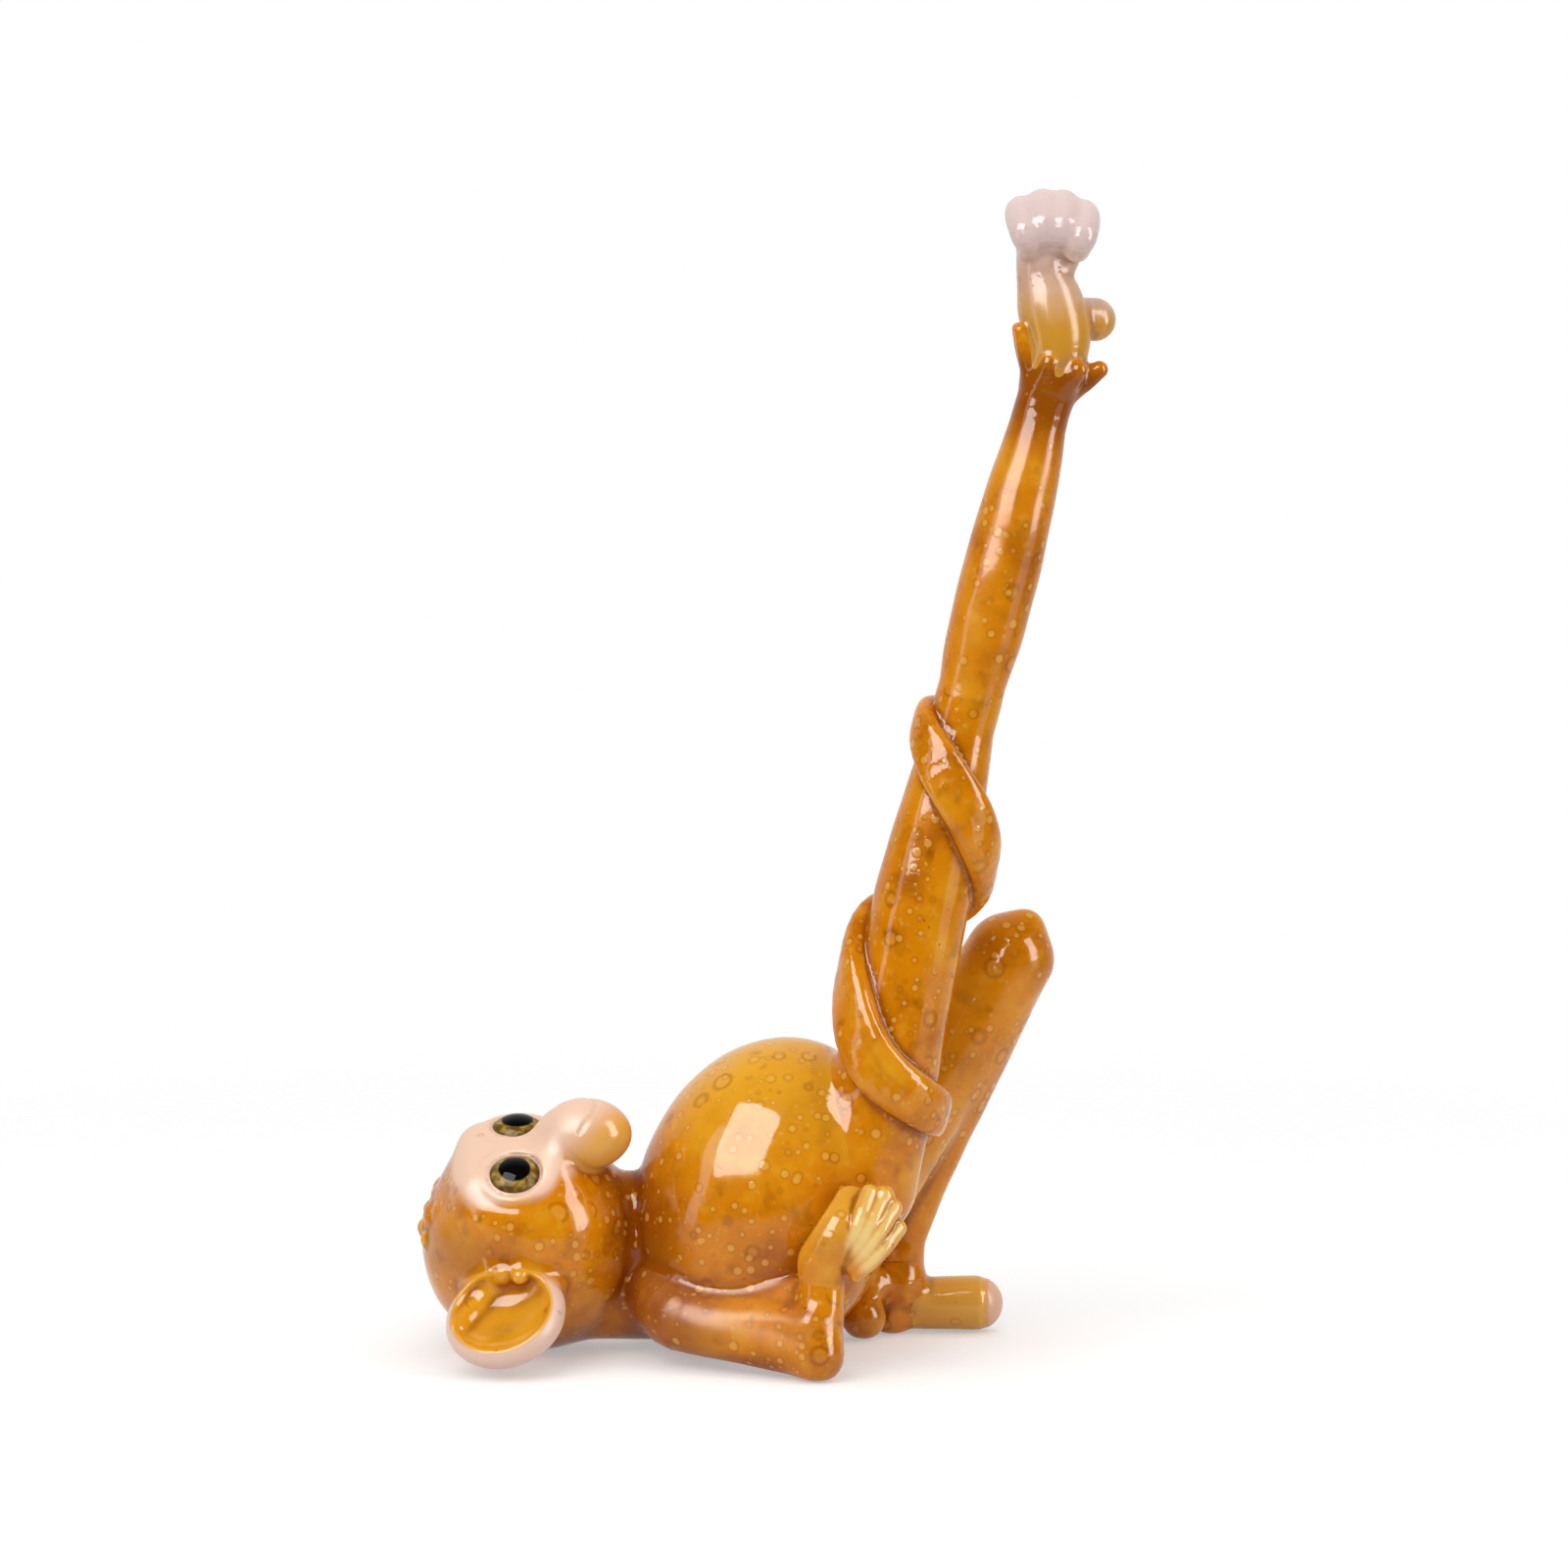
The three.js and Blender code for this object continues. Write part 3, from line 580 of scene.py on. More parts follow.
    def sample(
        self, index: int, near: list[int], low: Array, high: Array
    ) -> tuple[Array, float]:
        """Reads the piece's distance on a grid, finely only where its surface passes.

        Args:
            index: The piece.
            near: The pieces that count here.
            low: Lowest corner of the grid.
            high: Highest corner of the grid.

        Returns:
            The grid of distances and its step.
        """
        step = self.pieces[index].grain
        counts = (np.ceil((high - low) / step / self.COARSE).astype(int) + 1) * self.COARSE + 1
        axes = [low[i] + step * np.arange(counts[i]) for i in range(3)]
        rough_axes = [axis[:: self.COARSE] for axis in axes]
        rough_spots = np.stack(np.meshgrid(*rough_axes, indexing="ij"), axis=-1).reshape(-1, 3)
        rough = np.maximum(*self.fields(rough_spots, index, near)).reshape([len(axis) for axis in rough_axes])
        picks = []
        for count, axis in zip(counts, rough_axes):
            nearest = (np.arange(count) + self.COARSE // 2) // self.COARSE
            picks.append(np.minimum(nearest, len(axis) - 1))
        values = rough[np.ix_(*picks)]
        close = np.argwhere(np.abs(values) < self.CLOSE * self.COARSE * step)
        spots = low + step * close
        values[tuple(close.T)] = np.maximum(*self.fields(spots, index, near))
        return values, step

    def creases(self, spots: Spots, index: int, near: list[int]) -> Masks:
        """Where glaze pools in hollows and runs thin over edges, from the skin's curvature."""
        middle, _ = self.fields(spots, index, near)
        bends = []
        for reach in (self.FINE_CREASE, self.BROAD_CREASE):
            total = -6.0 * middle
            for axis in np.eye(3):
                total += self.fields(spots + reach * axis, index, near)[0]
                total += self.fields(spots - reach * axis, index, near)[0]
            bends.append(total / reach**2)
        fine, broad = bends
        pooled = np.clip(-self.FINE_POOL * fine, 0.0, 1.0) + np.clip(-self.BROAD_POOL * broad, 0.0, 1.0)
        thin = np.clip(self.THIN_GAIN * (fine - self.THIN_FROM), 0.0, 1.0)
        return {"pooled": np.clip(pooled, 0.0, 1.0), "thin": thin}


# Meshes

JUST_INSIDE = -1e-4
EVENING = 0.6


def closed_up(values: Array, rounds: int) -> Array:
    """Fills grid squares whose corners lie in and out by turns, where a mesh would touch itself.

    Args:
        values: Distances on a grid, negative inside.
        rounds: How often to look again, since a fill can make a new such square.

    Returns:
        The grid with those corners just inside.
    """
    filled = values.copy()
    for _ in range(rounds):
        odd_squares = 0
        for axis in range(3):
            layers = np.moveaxis(filled, axis, 0)
            corners = (layers[:, :-1, :-1], layers[:, 1:, :-1], layers[:, 1:, 1:], layers[:, :-1, 1:])
            first, second, third, fourth = (corner < 0 for corner in corners)
            odd = (first == third) & (second == fourth) & (first != second)
            odd_squares += int(odd.sum())
            for corner in corners:
                corner[odd] = np.minimum(corner[odd], JUST_INSIDE)
        if not odd_squares:
            break
    return filled


def without_crumbs(spots: Spots, faces: Array, fewest: int) -> tuple[Spots, Array]:
    """Leaves out islands of a few faces, where a piece only just shows between its neighbours.

    Args:
        spots: The mesh's corners.
        faces: Its faces as rows of four corners.
        fewest: Faces that an island needs to stay.

    Returns:
        The corners and faces that stay.
    """
    island = np.arange(len(spots))
    while True:
        lowest = island[faces].min(axis=1)
        joined = island.copy()
        np.minimum.at(joined, faces.ravel(), np.repeat(lowest, 4))
        joined = joined[joined]
        if (joined == island).all():
            break
        island = joined
    _, place, count = np.unique(island[faces[:, 0]], return_inverse=True, return_counts=True)
    kept = faces[count[place] >= fewest]
    used = np.unique(kept)
    number = np.full(len(spots), -1)
    number[used] = np.arange(len(used))
    return spots[used], number[kept]


def net(values: Array, low: Array, step: float) -> tuple[Spots, Array]:
    """Closed mesh of quads through a grid of distances, one corner in each cell that the surface crosses.

    Args:
        values: Distances on a grid, negative inside.
        low: Place of the grid's first value.
        step: Distance between neighbouring values.

    Returns:
        Corners, and faces as rows of four of them, turned outwards.
    """
    inside = values < 0
    shape = np.array(values.shape) - 1
    total = np.zeros((*shape, 3))
    count = np.zeros(shape)
    crossings = []
    for axis in range(3):
        first = [slice(None)] * 3
        second = [slice(None)] * 3
        first[axis], second[axis] = slice(None, -1), slice(1, None)
        start, end = values[tuple(first)], values[tuple(second)]
        crossed = inside[tuple(first)] != inside[tuple(second)]
        share = np.where(crossed, start / np.where(crossed, start - end, 1.0), 0.0)
        crossings.append((crossed, inside[tuple(first)]))
        side_a, side_b = (axis + 1) % 3, (axis + 2) % 3
        for a in (0, 1):
            for b in (0, 1):
                part = [slice(None)] * 3
                part[side_a] = slice(a, a + shape[side_a])
                part[side_b] = slice(b, b + shape[side_b])
                hit = crossed[tuple(part)]
                total[..., axis] += share[tuple(part)]
                total[..., side_a] += a * hit
                total[..., side_b] += b * hit
                count += hit
    cells = np.argwhere(count > 0)
    number = np.full(shape, -1)
    number[tuple(cells.T)] = np.arange(len(cells))
    spots = low + step * (cells + total[tuple(cells.T)] / count[tuple(cells.T)][:, None])
    faces = []
    for axis, (crossed, first_inside) in enumerate(crossings):
        edges = np.argwhere(crossed)
        side_a, side_b = np.eye(3, dtype=int)[(axis + 1) % 3], np.eye(3, dtype=int)[(axis + 2) % 3]
        rows = [number[tuple((edges - move).T)] for move in (side_a + side_b, side_b, 0 * side_a, side_a)]
        quads = np.stack(rows, axis=1)
        backwards = ~first_inside[tuple(edges.T)]
        quads[backwards] = quads[backwards][:, ::-1]
        faces.append(quads)
    return spots, np.concatenate(faces)


def relax(spots: Spots, faces: Array, free: Array) -> Spots:
    """Evens out the spacing of the free corners, once, towards their neighbours' middle."""
    total = np.zeros_like(spots)
    count = np.zeros(len(spots))
    for corner in range(4):
        here, following = faces[:, corner], faces[:, (corner + 1) % 4]
        np.add.at(total, here, spots[following])
        np.add.at(total, following, spots[here])
        np.add.at(count, here, 1)
        np.add.at(count, following, 1)
    middle = total / np.maximum(count, 1)[:, None]
    return np.where(free[:, None], (1 - EVENING) * spots + EVENING * middle, spots)


def face_normals(spots: Spots, faces: Array) -> Array:
    """Outward direction of each quad."""
    across = spots[faces[:, 2]] - spots[faces[:, 0]]
    over = spots[faces[:, 3]] - spots[faces[:, 1]]
    return unit(np.cross(across, over))


def shown(piece: Piece, skin: Skin, material: bpy.types.Material) -> bpy.types.Object:
    """Makes the Blender object of a piece, riding on the figurine and standing for its node.

    Args:
        piece: The piece.
        skin: Its mesh in millimetres.
        material: Its glaze.

    Returns:
        The object.
    """
    mesh = bpy.data.meshes.new(piece.node + "_skin")
    mesh.from_pydata((skin.spots * MM).tolist(), [], skin.faces.tolist())
    for name, values in skin.masks.items():
        mesh.attributes.new(name, "FLOAT", "POINT").data.foreach_set("value", values.astype(np.float32))
    flat = face_normals(skin.spots, skin.faces)
    corners = np.where(skin.outer[:, None, None], skin.normals[skin.faces], flat[:, None, :])
    mesh.polygons.foreach_set("use_smooth", np.ones(len(skin.faces), bool))
    mesh.normals_split_custom_set(corners.reshape(-1, 3).tolist())
    mesh.materials.append(material)
    mesh.validate()
    made = bpy.data.objects.new(piece.node + "_glazed", mesh)
    bpy.context.scene.collection.objects.link(made)
    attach(made, BODY)
    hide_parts(piece.node)
    LOG.info("%s: %d corners, %d faces", made.name, len(skin.spots), len(skin.faces))
    return made


# The figurine's sub-assemblies, in millimetres

# Painted shade: the hollow round the neck is darkened with brown, standing in for the shade there.
NECK_X = -25.0
NECK_PAINTED_SHADE = 0.75
NECK_SHADE_FADE = (14.0, 2.0)
NECK_SHADE_HEIGHTS = (58.0, 38.0)


def painted_neck_shade(spots: Spots) -> Array:
    """Share of painted shade, laid on as brown, in the hollow round the neck."""
    beside = ramp(*NECK_SHADE_FADE, np.abs(spots[:, 0] - NECK_X))
    return NECK_PAINTED_SHADE * beside * ramp(*NECK_SHADE_HEIGHTS, spots[:, 2])


@dataclass
class Torso:
    """Hollow casting of the body, lying on its back."""

    thickness: float = 67.0
    width: float = 66.0
    length: float = 85.6
    lean: float = 18.5
    rest_flat_depth: float = 3.3
    neck_diameter: float = 36.0
    neck_core: float = 25.0
    neck_fillet: float = 1.8
    throat_diameter: float = 21.0
    throat_rise: float = 8.6
    nape_diameter: float = 25.0
    nape_height: float = 15.0
    nape_from: float = -24.0
    nape_past_neck: float = 8.0
    vent_diameter: float = 7.0
    vent_to_middle: float = 7.5
    vent_depth: float = 9.0
    vent_edge: float = 0.8
    # Golden, lighter towards the top of the belly.
    sunny: float = 0.8
    sunny_heights: tuple = (42.0, 80.0)

    def __post_init__(self) -> None:
        """Works out where the egg of the body lies."""
        lean = math.radians(self.lean)
        self.half = at(self.thickness, self.width, self.length) / 2
        self.turn = turn_about_y(self.lean)
        reach_up = math.hypot(self.half[0] * math.sin(lean), self.half[2] * math.cos(lean))
        self.reach_along = math.hypot(self.half[0] * math.cos(lean), self.half[2] * math.sin(lean))
        self.height = reach_up - self.rest_flat_depth
        skew = (self.half[2] ** 2 - self.half[0] ** 2) * math.sin(lean) * math.cos(lean)
        self.centre = at(skew * self.height / reach_up**2, 0, self.height)

    def on_skin(self, x: float, y: float, z: float) -> Array:
        """Point of the skin in a direction of the upright egg."""
        return self.turn @ (unit(at(x, y, z)) * self.half) + self.centre

    def paint(self, spots: Spots) -> Masks:
        """Golden towards the top of the belly, and painted shade in brown round the neck."""
        return {"sunny": self.sunny * ramp(*self.sunny_heights, spots[:, 2]), "brown": painted_neck_shade(spots)}

    def pieces(self, neck_end: Array) -> list[Piece]:
        """The body with its neck stub and vent.

        Args:
            neck_end: Middle of the neck's end inside the head.

        Returns:
            One piece.
        """
        egg = Egg(self.centre, self.half, self.turn)
        start = at(self.centre[0], 0, neck_end[2])
        neck = Limb((start, neck_end), (self.neck_core, self.neck_core))
        throat_line = tuple(end + at(0, 0, self.throat_rise) for end in (start, neck_end))
        throat = Limb(throat_line, (self.throat_diameter, self.throat_diameter))
        nape_ends = (self.nape_from, neck_end[0] - self.nape_past_neck)
        nape_line = tuple(at(x, 0, self.nape_height) for x in nape_ends)
        nape = Limb(nape_line, (self.nape_diameter, self.nape_diameter))
        vent_top = at(-self.vent_to_middle, 0, self.vent_depth)
        vent = Limb((vent_top * (1, 1, -1), vent_top), (self.vent_diameter, self.vent_diameter))
        body = Carved(Melted((egg, neck, throat, nape), self.neck_fillet), vent, self.vent_edge)
        return [Piece("torso_shell", body, Finish.AMBER, weld=4.0, grain=1.0, paint=self.paint)]


@dataclass
class Head:
    """Head with its face, eyes, ears and the tuft on its crown, rolled towards the right."""

    length: float = 56.0
    width: float = 54.0
    height: float = 55.2
    roll: float = 22.0
    tuck: float = 1.9
    flat_depth: float = 0.4
    neck_seat: float = 3.4
    face_roll: float = 6.0
    face_fillet: float = 4.5
    mask_length: float = 28.6
    mask_width: float = 40.0
    mask_depth: float = 20.0
    mask_proud: float = 29.4
    mask_to_crown: float = 5.0
    mask_power: float = 2.7
    mask_inset: float = 2.0
    mask_fade: tuple = (1.25, 0.85)
    mask_heights: tuple = (14.0, 18.0)
    cheek_place: tuple = (0.0, 4.1, 8.2)
    cheek_diameter: float = 47.0
    brow_place: tuple = (-13.2, 9.5, 25.2)
    brow_diameter: float = 7.5
    bridge_place: tuple = (6.4, 6.4, 26.4)
    bridge_diameter: float = 11.0
    bridge_sag: float = 3.0
    bridge_fade: tuple = (1.6, 0.2)
    snout_length: float = 23.4
    snout_width: float = 18.8
    snout_depth: float = 18.2
    snout_to_chin: float = 14.5
    snout_proud: float = 33.0
    snout_fillets: tuple = (1.8, 6.5)
    snout_fillet_ends: tuple = (15.0, 5.0)
    snout_fade: tuple = (2.2, 0.2)
    chin_ends: tuple = (9.0, 22.0)
    chin_slant: tuple = (0.8, 0.6)
    chin_bare: float = 0.85
    chin_sunny: float = 0.8
    mouth_to_chin: float = 17.0
    mouth_smile: float = 0.06
    mouth_half_width: float = 8.0
    mouth_thickness: float = 1.4
    mouth_tip: float = 0.8
    mouth_lift: float = 0.5
    mouth_edge: float = 0.9
    mouth_knots: int = 11
    side_brown: float = 0.4
    side_rise: float = 1.0
    side_fade: tuple = (9.0, 2.0)
    side_ends: tuple = (4.0, -6.0)
    eye_diameter: float = 17.0
    eye_spacing: float = 19.6
    eye_to_crown: float = 3.2
    eye_sink: float = 4.2
    eye_tilt: float = 10.0
    lid_diameter: float = 15.6
    lid_thickness: float = 1.8
    lid_rise: float = 0.1
    lid_fillet: float = 1.6
    opening_ends: tuple = (-2.0, 16.0)
    opening_edge: float = 1.0
    pupil_diameter: float = 8.4
    gaze_turn: float = -0.5
    ear_diameter: float = 31.0
    ear_depth: float = 17.0
    ear_dish_diameter: float = 25.8
    ear_dish_depth: float = 10.4
    ear_dish_lift: float = 5.2
    ear_dish_out: float = 1.9
    ear_dish_edge: float = 1.2
    ear_dish_fade: tuple = (0.2, 1.2)
    ear_dish_sunny: float = 0.4
    ear_root_fade: tuple = (1.0, 8.0)
    ear_pale: float = 0.45
    ear_tip: float = -14.0
    ear_turn: float = 14.0
    ear_standoff: float = 8.3
    ear_to_crown: float = 5.2
    ear_to_nape: float = -0.4
    ear_fold: tuple = ((-12.0, 2.0), (-9.5, -2.5), (-6.0, -6.5), (-2.5, -10.5))
    ear_fold_diameter: float = 3.8
    ear_fold_taper: tuple = (0.8, 1.0, 1.0, 1.2)
    ear_fold_sink: float = 1.1
    ear_fold_fillet: float = 2.4
    ear_lumps: tuple = ((-1.6, -10.6, 3.6), (1.0, -8.6, 2.4), (5.8, -9.6, 3.4), (5.4, -6.6, 2.8))
    ear_lump_sink: float = 0.8
    ear_lump_fillet: float = 1.2
    tuft_rows: tuple = (12.0, 20.0, 28.0)
    tuft_pellets: int = 4
    tuft_pellet_diameter: float = 5.8
    tuft_pellet_share: float = 0.8
    tuft_spacing: float = 4.4
    tuft_sink: float = 1.0
    tuft_fillet: float = 1.4
    tuft_sway: float = 4.0
    tuft_sway_pace: float = 2.3
    tuft_uneven: float = 0.12
    tuft_uneven_paces: tuple = (3.7, 1.9)

    def place(self, torso: Torso) -> None:
        """Works out where the head lies.

        Args:
            torso: The body that carries it.
        """
        self.half = at(self.length, self.width, self.height) / 2
        self.turn = turn_about_x(self.roll)
        self.face_turn = turn_about_x(self.roll + self.face_roll)
        roll = math.radians(self.roll)
        rise = math.hypot(self.half[1] * math.sin(roll), self.half[2] * math.cos(roll)) - self.flat_depth
        self.centre = at(torso.centre[0] - torso.reach_along + self.tuck - self.half[0], 0, rise)
        mouth_of_neck = self.half[0] * math.sqrt(1 - (torso.neck_diameter / self.width) ** 2)
        self.neck_end = self.centre + at(mouth_of_neck - self.neck_seat, 0, 0)

    def spot(self, x: float, y: float, z: float) -> Array:
        """Point given by x towards the chin, y to the left and z out of the face."""
        return self.turn @ at(x, y, z) + self.centre

    def own(self, spots: Spots) -> Spots:
        """Points in the head's own frame."""
        return (spots - self.centre) @ self.turn

    def face_spot(self, x: float, y: float, z: float) -> Array:
        """Point of the face, whose frame is turned a little further than the skull."""
        return self.face_turn @ at(x, y, z) + self.centre

    def mask_form(self) -> Egg:
        """Flat of the face on which the eyes sit."""
        half = at(self.mask_length, self.mask_width, self.mask_depth) / 2
        middle = self.face_spot(-self.mask_to_crown, 0, self.mask_proud - half[2])
        return Egg(middle, half, self.face_turn, self.mask_power)

    def snout_form(self) -> Egg:
        """Snout that stands out of the face."""
        half = at(self.snout_length, self.snout_width, self.snout_depth) / 2
        return Egg(self.spot(self.snout_to_chin, 0, self.snout_proud), half, self.turn)

    def eye_seat(self, side: Side) -> tuple[Array, Array]:
        """Middle and turned axes of an eye's lid."""
        y = side * self.eye_spacing / 2
        out = abs(2 * y / self.mask_width) ** self.mask_power
        drop = self.mask_depth / 2 * (1 - (1 - out) ** (1 / self.mask_power))
        middle = self.face_spot(-self.eye_to_crown, y, self.mask_proud - drop)
        return middle, self.face_turn @ turn_about_x(-side * self.eye_tilt)

    def lid(self, side: Side) -> Ring:
        """Thin ring of clay round an eye."""
        middle, turn = self.eye_seat(side)
        return Ring(middle + self.lid_rise * turn[:, 2], turn, self.lid_diameter, self.lid_thickness)

    def eye_middle(self, side: Side) -> Array:
        """Middle of an eyeball."""
        middle, turn = self.eye_seat(side)
        return middle - self.eye_sink * turn[:, 2]

    def pupil(self, side: Side) -> Array:
        """Point of an eyeball in the middle of its pupil."""
        gaze = (self.eye_seat(side)[1] @ turn_about_x(self.gaze_turn))[:, 2]
        return self.eye_middle(side) + gaze * self.eye_diameter / 2

    def snout_fillet(self, spots: Spots) -> Array:
        """Width of the fillet round the snout: broad towards the brow, a crease towards the chin."""
        narrow, broad = self.snout_fillets
        return narrow + (broad - narrow) * ramp(*self.snout_fillet_ends, self.own(spots)[:, 0])

    def bridge(self) -> Limb:
        """Low roll across the face under the snout, which carries it into the face."""
        x, y, z = self.bridge_place
        line = (self.face_spot(x, -y, z), self.face_spot(x, 0, z - self.bridge_sag), self.face_spot(x, y, z))
        return Limb(line, (self.bridge_diameter, self.bridge_diameter), steps=4)

    def brow(self) -> Limb:
        """Low roll along the top of the face, which gives it a corner."""
        x, y, z = self.brow_place
        line = (self.face_spot(x, -y, z), self.face_spot(x, y, z))
        return Limb(line, (self.brow_diameter, self.brow_diameter))

    def opening(self, side: Side) -> Limb:
        """Room that is cut out in front of an eyeball."""
        middle, turn = self.eye_seat(side)
        wide = self.lid_diameter - self.lid_thickness
        return Limb(tuple(middle + end * turn[:, 2] for end in self.opening_ends), (wide, wide))

    def mouth(self, snout: Egg) -> Limb:
        """Fine roll along the snout's skin, whose shape is cut out as the mouth line."""
        line = []
        for y in np.linspace(-self.mouth_half_width, self.mouth_half_width, self.mouth_knots):
            x = self.mouth_to_chin - self.mouth_smile * y * y
            out = self.snout_proud + snout.rise(x - self.snout_to_chin, y)
            line.append(self.spot(x, y, out + self.mouth_lift))
        widths = (self.mouth_tip, self.mouth_thickness, self.mouth_thickness, self.mouth_tip)
        return Limb(tuple(line), widths, steps=2)

    def skull(self) -> Form:
        """Skull with its cheeks, the flat round the eyes, the lids, the snout and the mouth line."""
        skull = Egg(self.centre, self.half, self.turn)
        snout = self.snout_form()
        x, y, z = self.cheek_place
        cheeks = [ball(self.face_spot(x, side * y, z), self.cheek_diameter) for side in Side]
        face = Melted((skull, *cheeks, self.mask_form(), self.bridge(), self.brow()), self.face_fillet)
        face = Melted((face, snout), self.snout_fillet)
        for side in Side:
            face = Carved(face, self.opening(side), self.opening_edge)
        face = Melted((face, *(self.lid(side) for side in Side)), self.lid_fillet)
        return Carved(face, self.mouth(snout), self.mouth_edge)

    def paint(self, spots: Spots) -> Masks:
        """Peach round the eyes and over the snout, golden at the chin, brown at the side, and painted shade
        in brown at the neck.
        """
        own = self.own(spots)
        flat = (spots - self.centre) @ self.face_turn
        spread_x = np.abs(flat[:, 0] + self.mask_to_crown) / (self.mask_length / 2)
        spread_y = np.abs(flat[:, 1]) / (self.mask_width / 2 - self.mask_inset)
        reach = spread_x**self.mask_power + spread_y**self.mask_power
        face = ramp(*self.mask_fade, reach) * ramp(*self.mask_heights, flat[:, 2])
        face = np.maximum(face, ramp(*self.bridge_fade, self.bridge().measure(spots)))
        snout = ramp(*self.snout_fade, self.snout_form().measure(spots))
        peach = np.maximum(face, snout)
        outward, sideways = self.chin_slant
        to_chin = own[:, 0] - outward * (own[:, 2] - self.snout_proud) - sideways * own[:, 1]
        chin = ramp(*self.chin_ends, to_chin)
        blush = np.maximum(face, snout * (1 - self.chin_bare * chin))
        level = np.abs(spots[:, 2] - self.centre[2] - self.side_rise)
        band = ramp(*self.side_fade, level) * ramp(*self.side_ends, own[:, 0])
        # Painted shade at the neck, in brown, joined with the brown band along the head's side.
        brown = np.maximum(painted_neck_shade(spots), self.side_brown * band) * (1 - peach)
        return {"blush": blush, "sunny": self.chin_sunny * chin * snout, "brown": brown, "plain": peach}

    def ear(self, side: Side) -> Piece:
        """Thick shallow dish with a low fold and small lumps where it meets the head."""
        y = side * (self.half[1] + self.ear_standoff)
        half = at(self.ear_diameter, self.ear_diameter, self.ear_depth) / 2
        dish_half = at(self.ear_dish_diameter, self.ear_dish_diameter, self.ear_dish_depth) / 2
        middle = self.spot(-self.ear_to_crown, y, -self.ear_to_nape)
        turn = self.turn @ turn_about_y(self.ear_tip) @ turn_about_x(-side * self.ear_turn)
        dish_shift = at(0, side * self.ear_dish_out, self.ear_dish_lift)
        dish = Egg(middle + turn @ dish_shift, dish_half, turn)
        lobe = Egg(middle, half, turn)
        bowl = Carved(lobe, dish, self.ear_dish_edge)

        def floor(x: float, out: float) -> Array:
            """Point on the dish's floor, given in the ear's own frame."""
            depth = dish.rise(x, out - self.ear_dish_out)
            return middle + turn @ at(x, side * out, self.ear_dish_lift - depth)

        def brim(x: float, out: float) -> Array:
            """Point on the ear's top before the dish is cut."""
            return middle + turn @ at(x, side * out, lobe.rise(x, out))

        fold_line = tuple(floor(*place) - self.ear_fold_sink * turn[:, 2] for place in self.ear_fold)
        widths = tuple(share * self.ear_fold_diameter for share in self.ear_fold_taper)
        fold = Limb(fold_line, widths, steps=4)
        sink = self.ear_lump_sink * turn[:, 2]
        lumps = [ball(brim(x, out) - sink, size) for x, out, size in self.ear_lumps]
        form = Melted((Melted((bowl, fold), self.ear_fold_fillet), *lumps), self.ear_lump_fillet)

        def paint(spots: Spots) -> Masks:
            """Pale pink outside, golden inside the dish, and the head's glaze at the root."""
            outside = ramp(*self.ear_dish_fade, dish.measure(spots))
            pink = outside * ramp(*self.ear_root_fade, side * self.own(spots)[:, 1] - self.half[1])
            return {"blush": pink, "pale": self.ear_pale * pink, "sunny": self.ear_dish_sunny * (1 - outside)}

        return Piece(f"{side.word}_ear", form, Finish.AMBER, weld=4.5, grain=0.6, paint=paint)

    def tuft(self) -> Piece:
        """Rows of small pellets along the hairline, a little uneven in place and size."""
        pellets = []
        size_pace, row_pace = self.tuft_uneven_paces
        for row, pitch in enumerate(self.tuft_rows):
            for count in range(self.tuft_pellets):
                place = count - (self.tuft_pellets - 1) / 2 + (0.5 if row % 2 else 0.0)
                swing = place * self.tuft_spacing / self.half[1]
                up = math.radians(pitch + self.tuft_sway * math.sin(self.tuft_sway_pace * count + row))
                along = at(-math.cos(up), 0, math.sin(up)) * math.cos(swing)
                direction = along + at(0, math.sin(swing), 0)
                uneven = self.tuft_uneven * math.sin(size_pace * count + row_pace * row)
                size = self.tuft_pellet_diameter * (self.tuft_pellet_share + uneven)
                pellets.append(ball(self.spot(*(direction * (self.half - self.tuft_sink))), size))
        form = Melted(tuple(pellets), self.tuft_fillet)
        return Piece("crown_tuft", form, Finish.AMBER, weld=1.6, grain=0.5)

    def eye(self, side: Side) -> Piece:
        """Ball of clay set into its lid."""
        form = ball(self.eye_middle(side), self.eye_diameter)
        return Piece(f"{side.word}_eye", form, Finish.EYE, weld=0.3, grain=0.45)

    def pieces(self) -> list[Piece]:
        """Skull, eyes, ears and tuft."""
        skull = Piece("head_shell", self.skull(), Finish.AMBER, weld=2.2, grain=0.65, paint=self.paint)
        eyes = [self.eye(side) for side in Side]
        ears = [self.ear(side) for side in Side]
        return [skull, *eyes, *ears, self.tuft()]


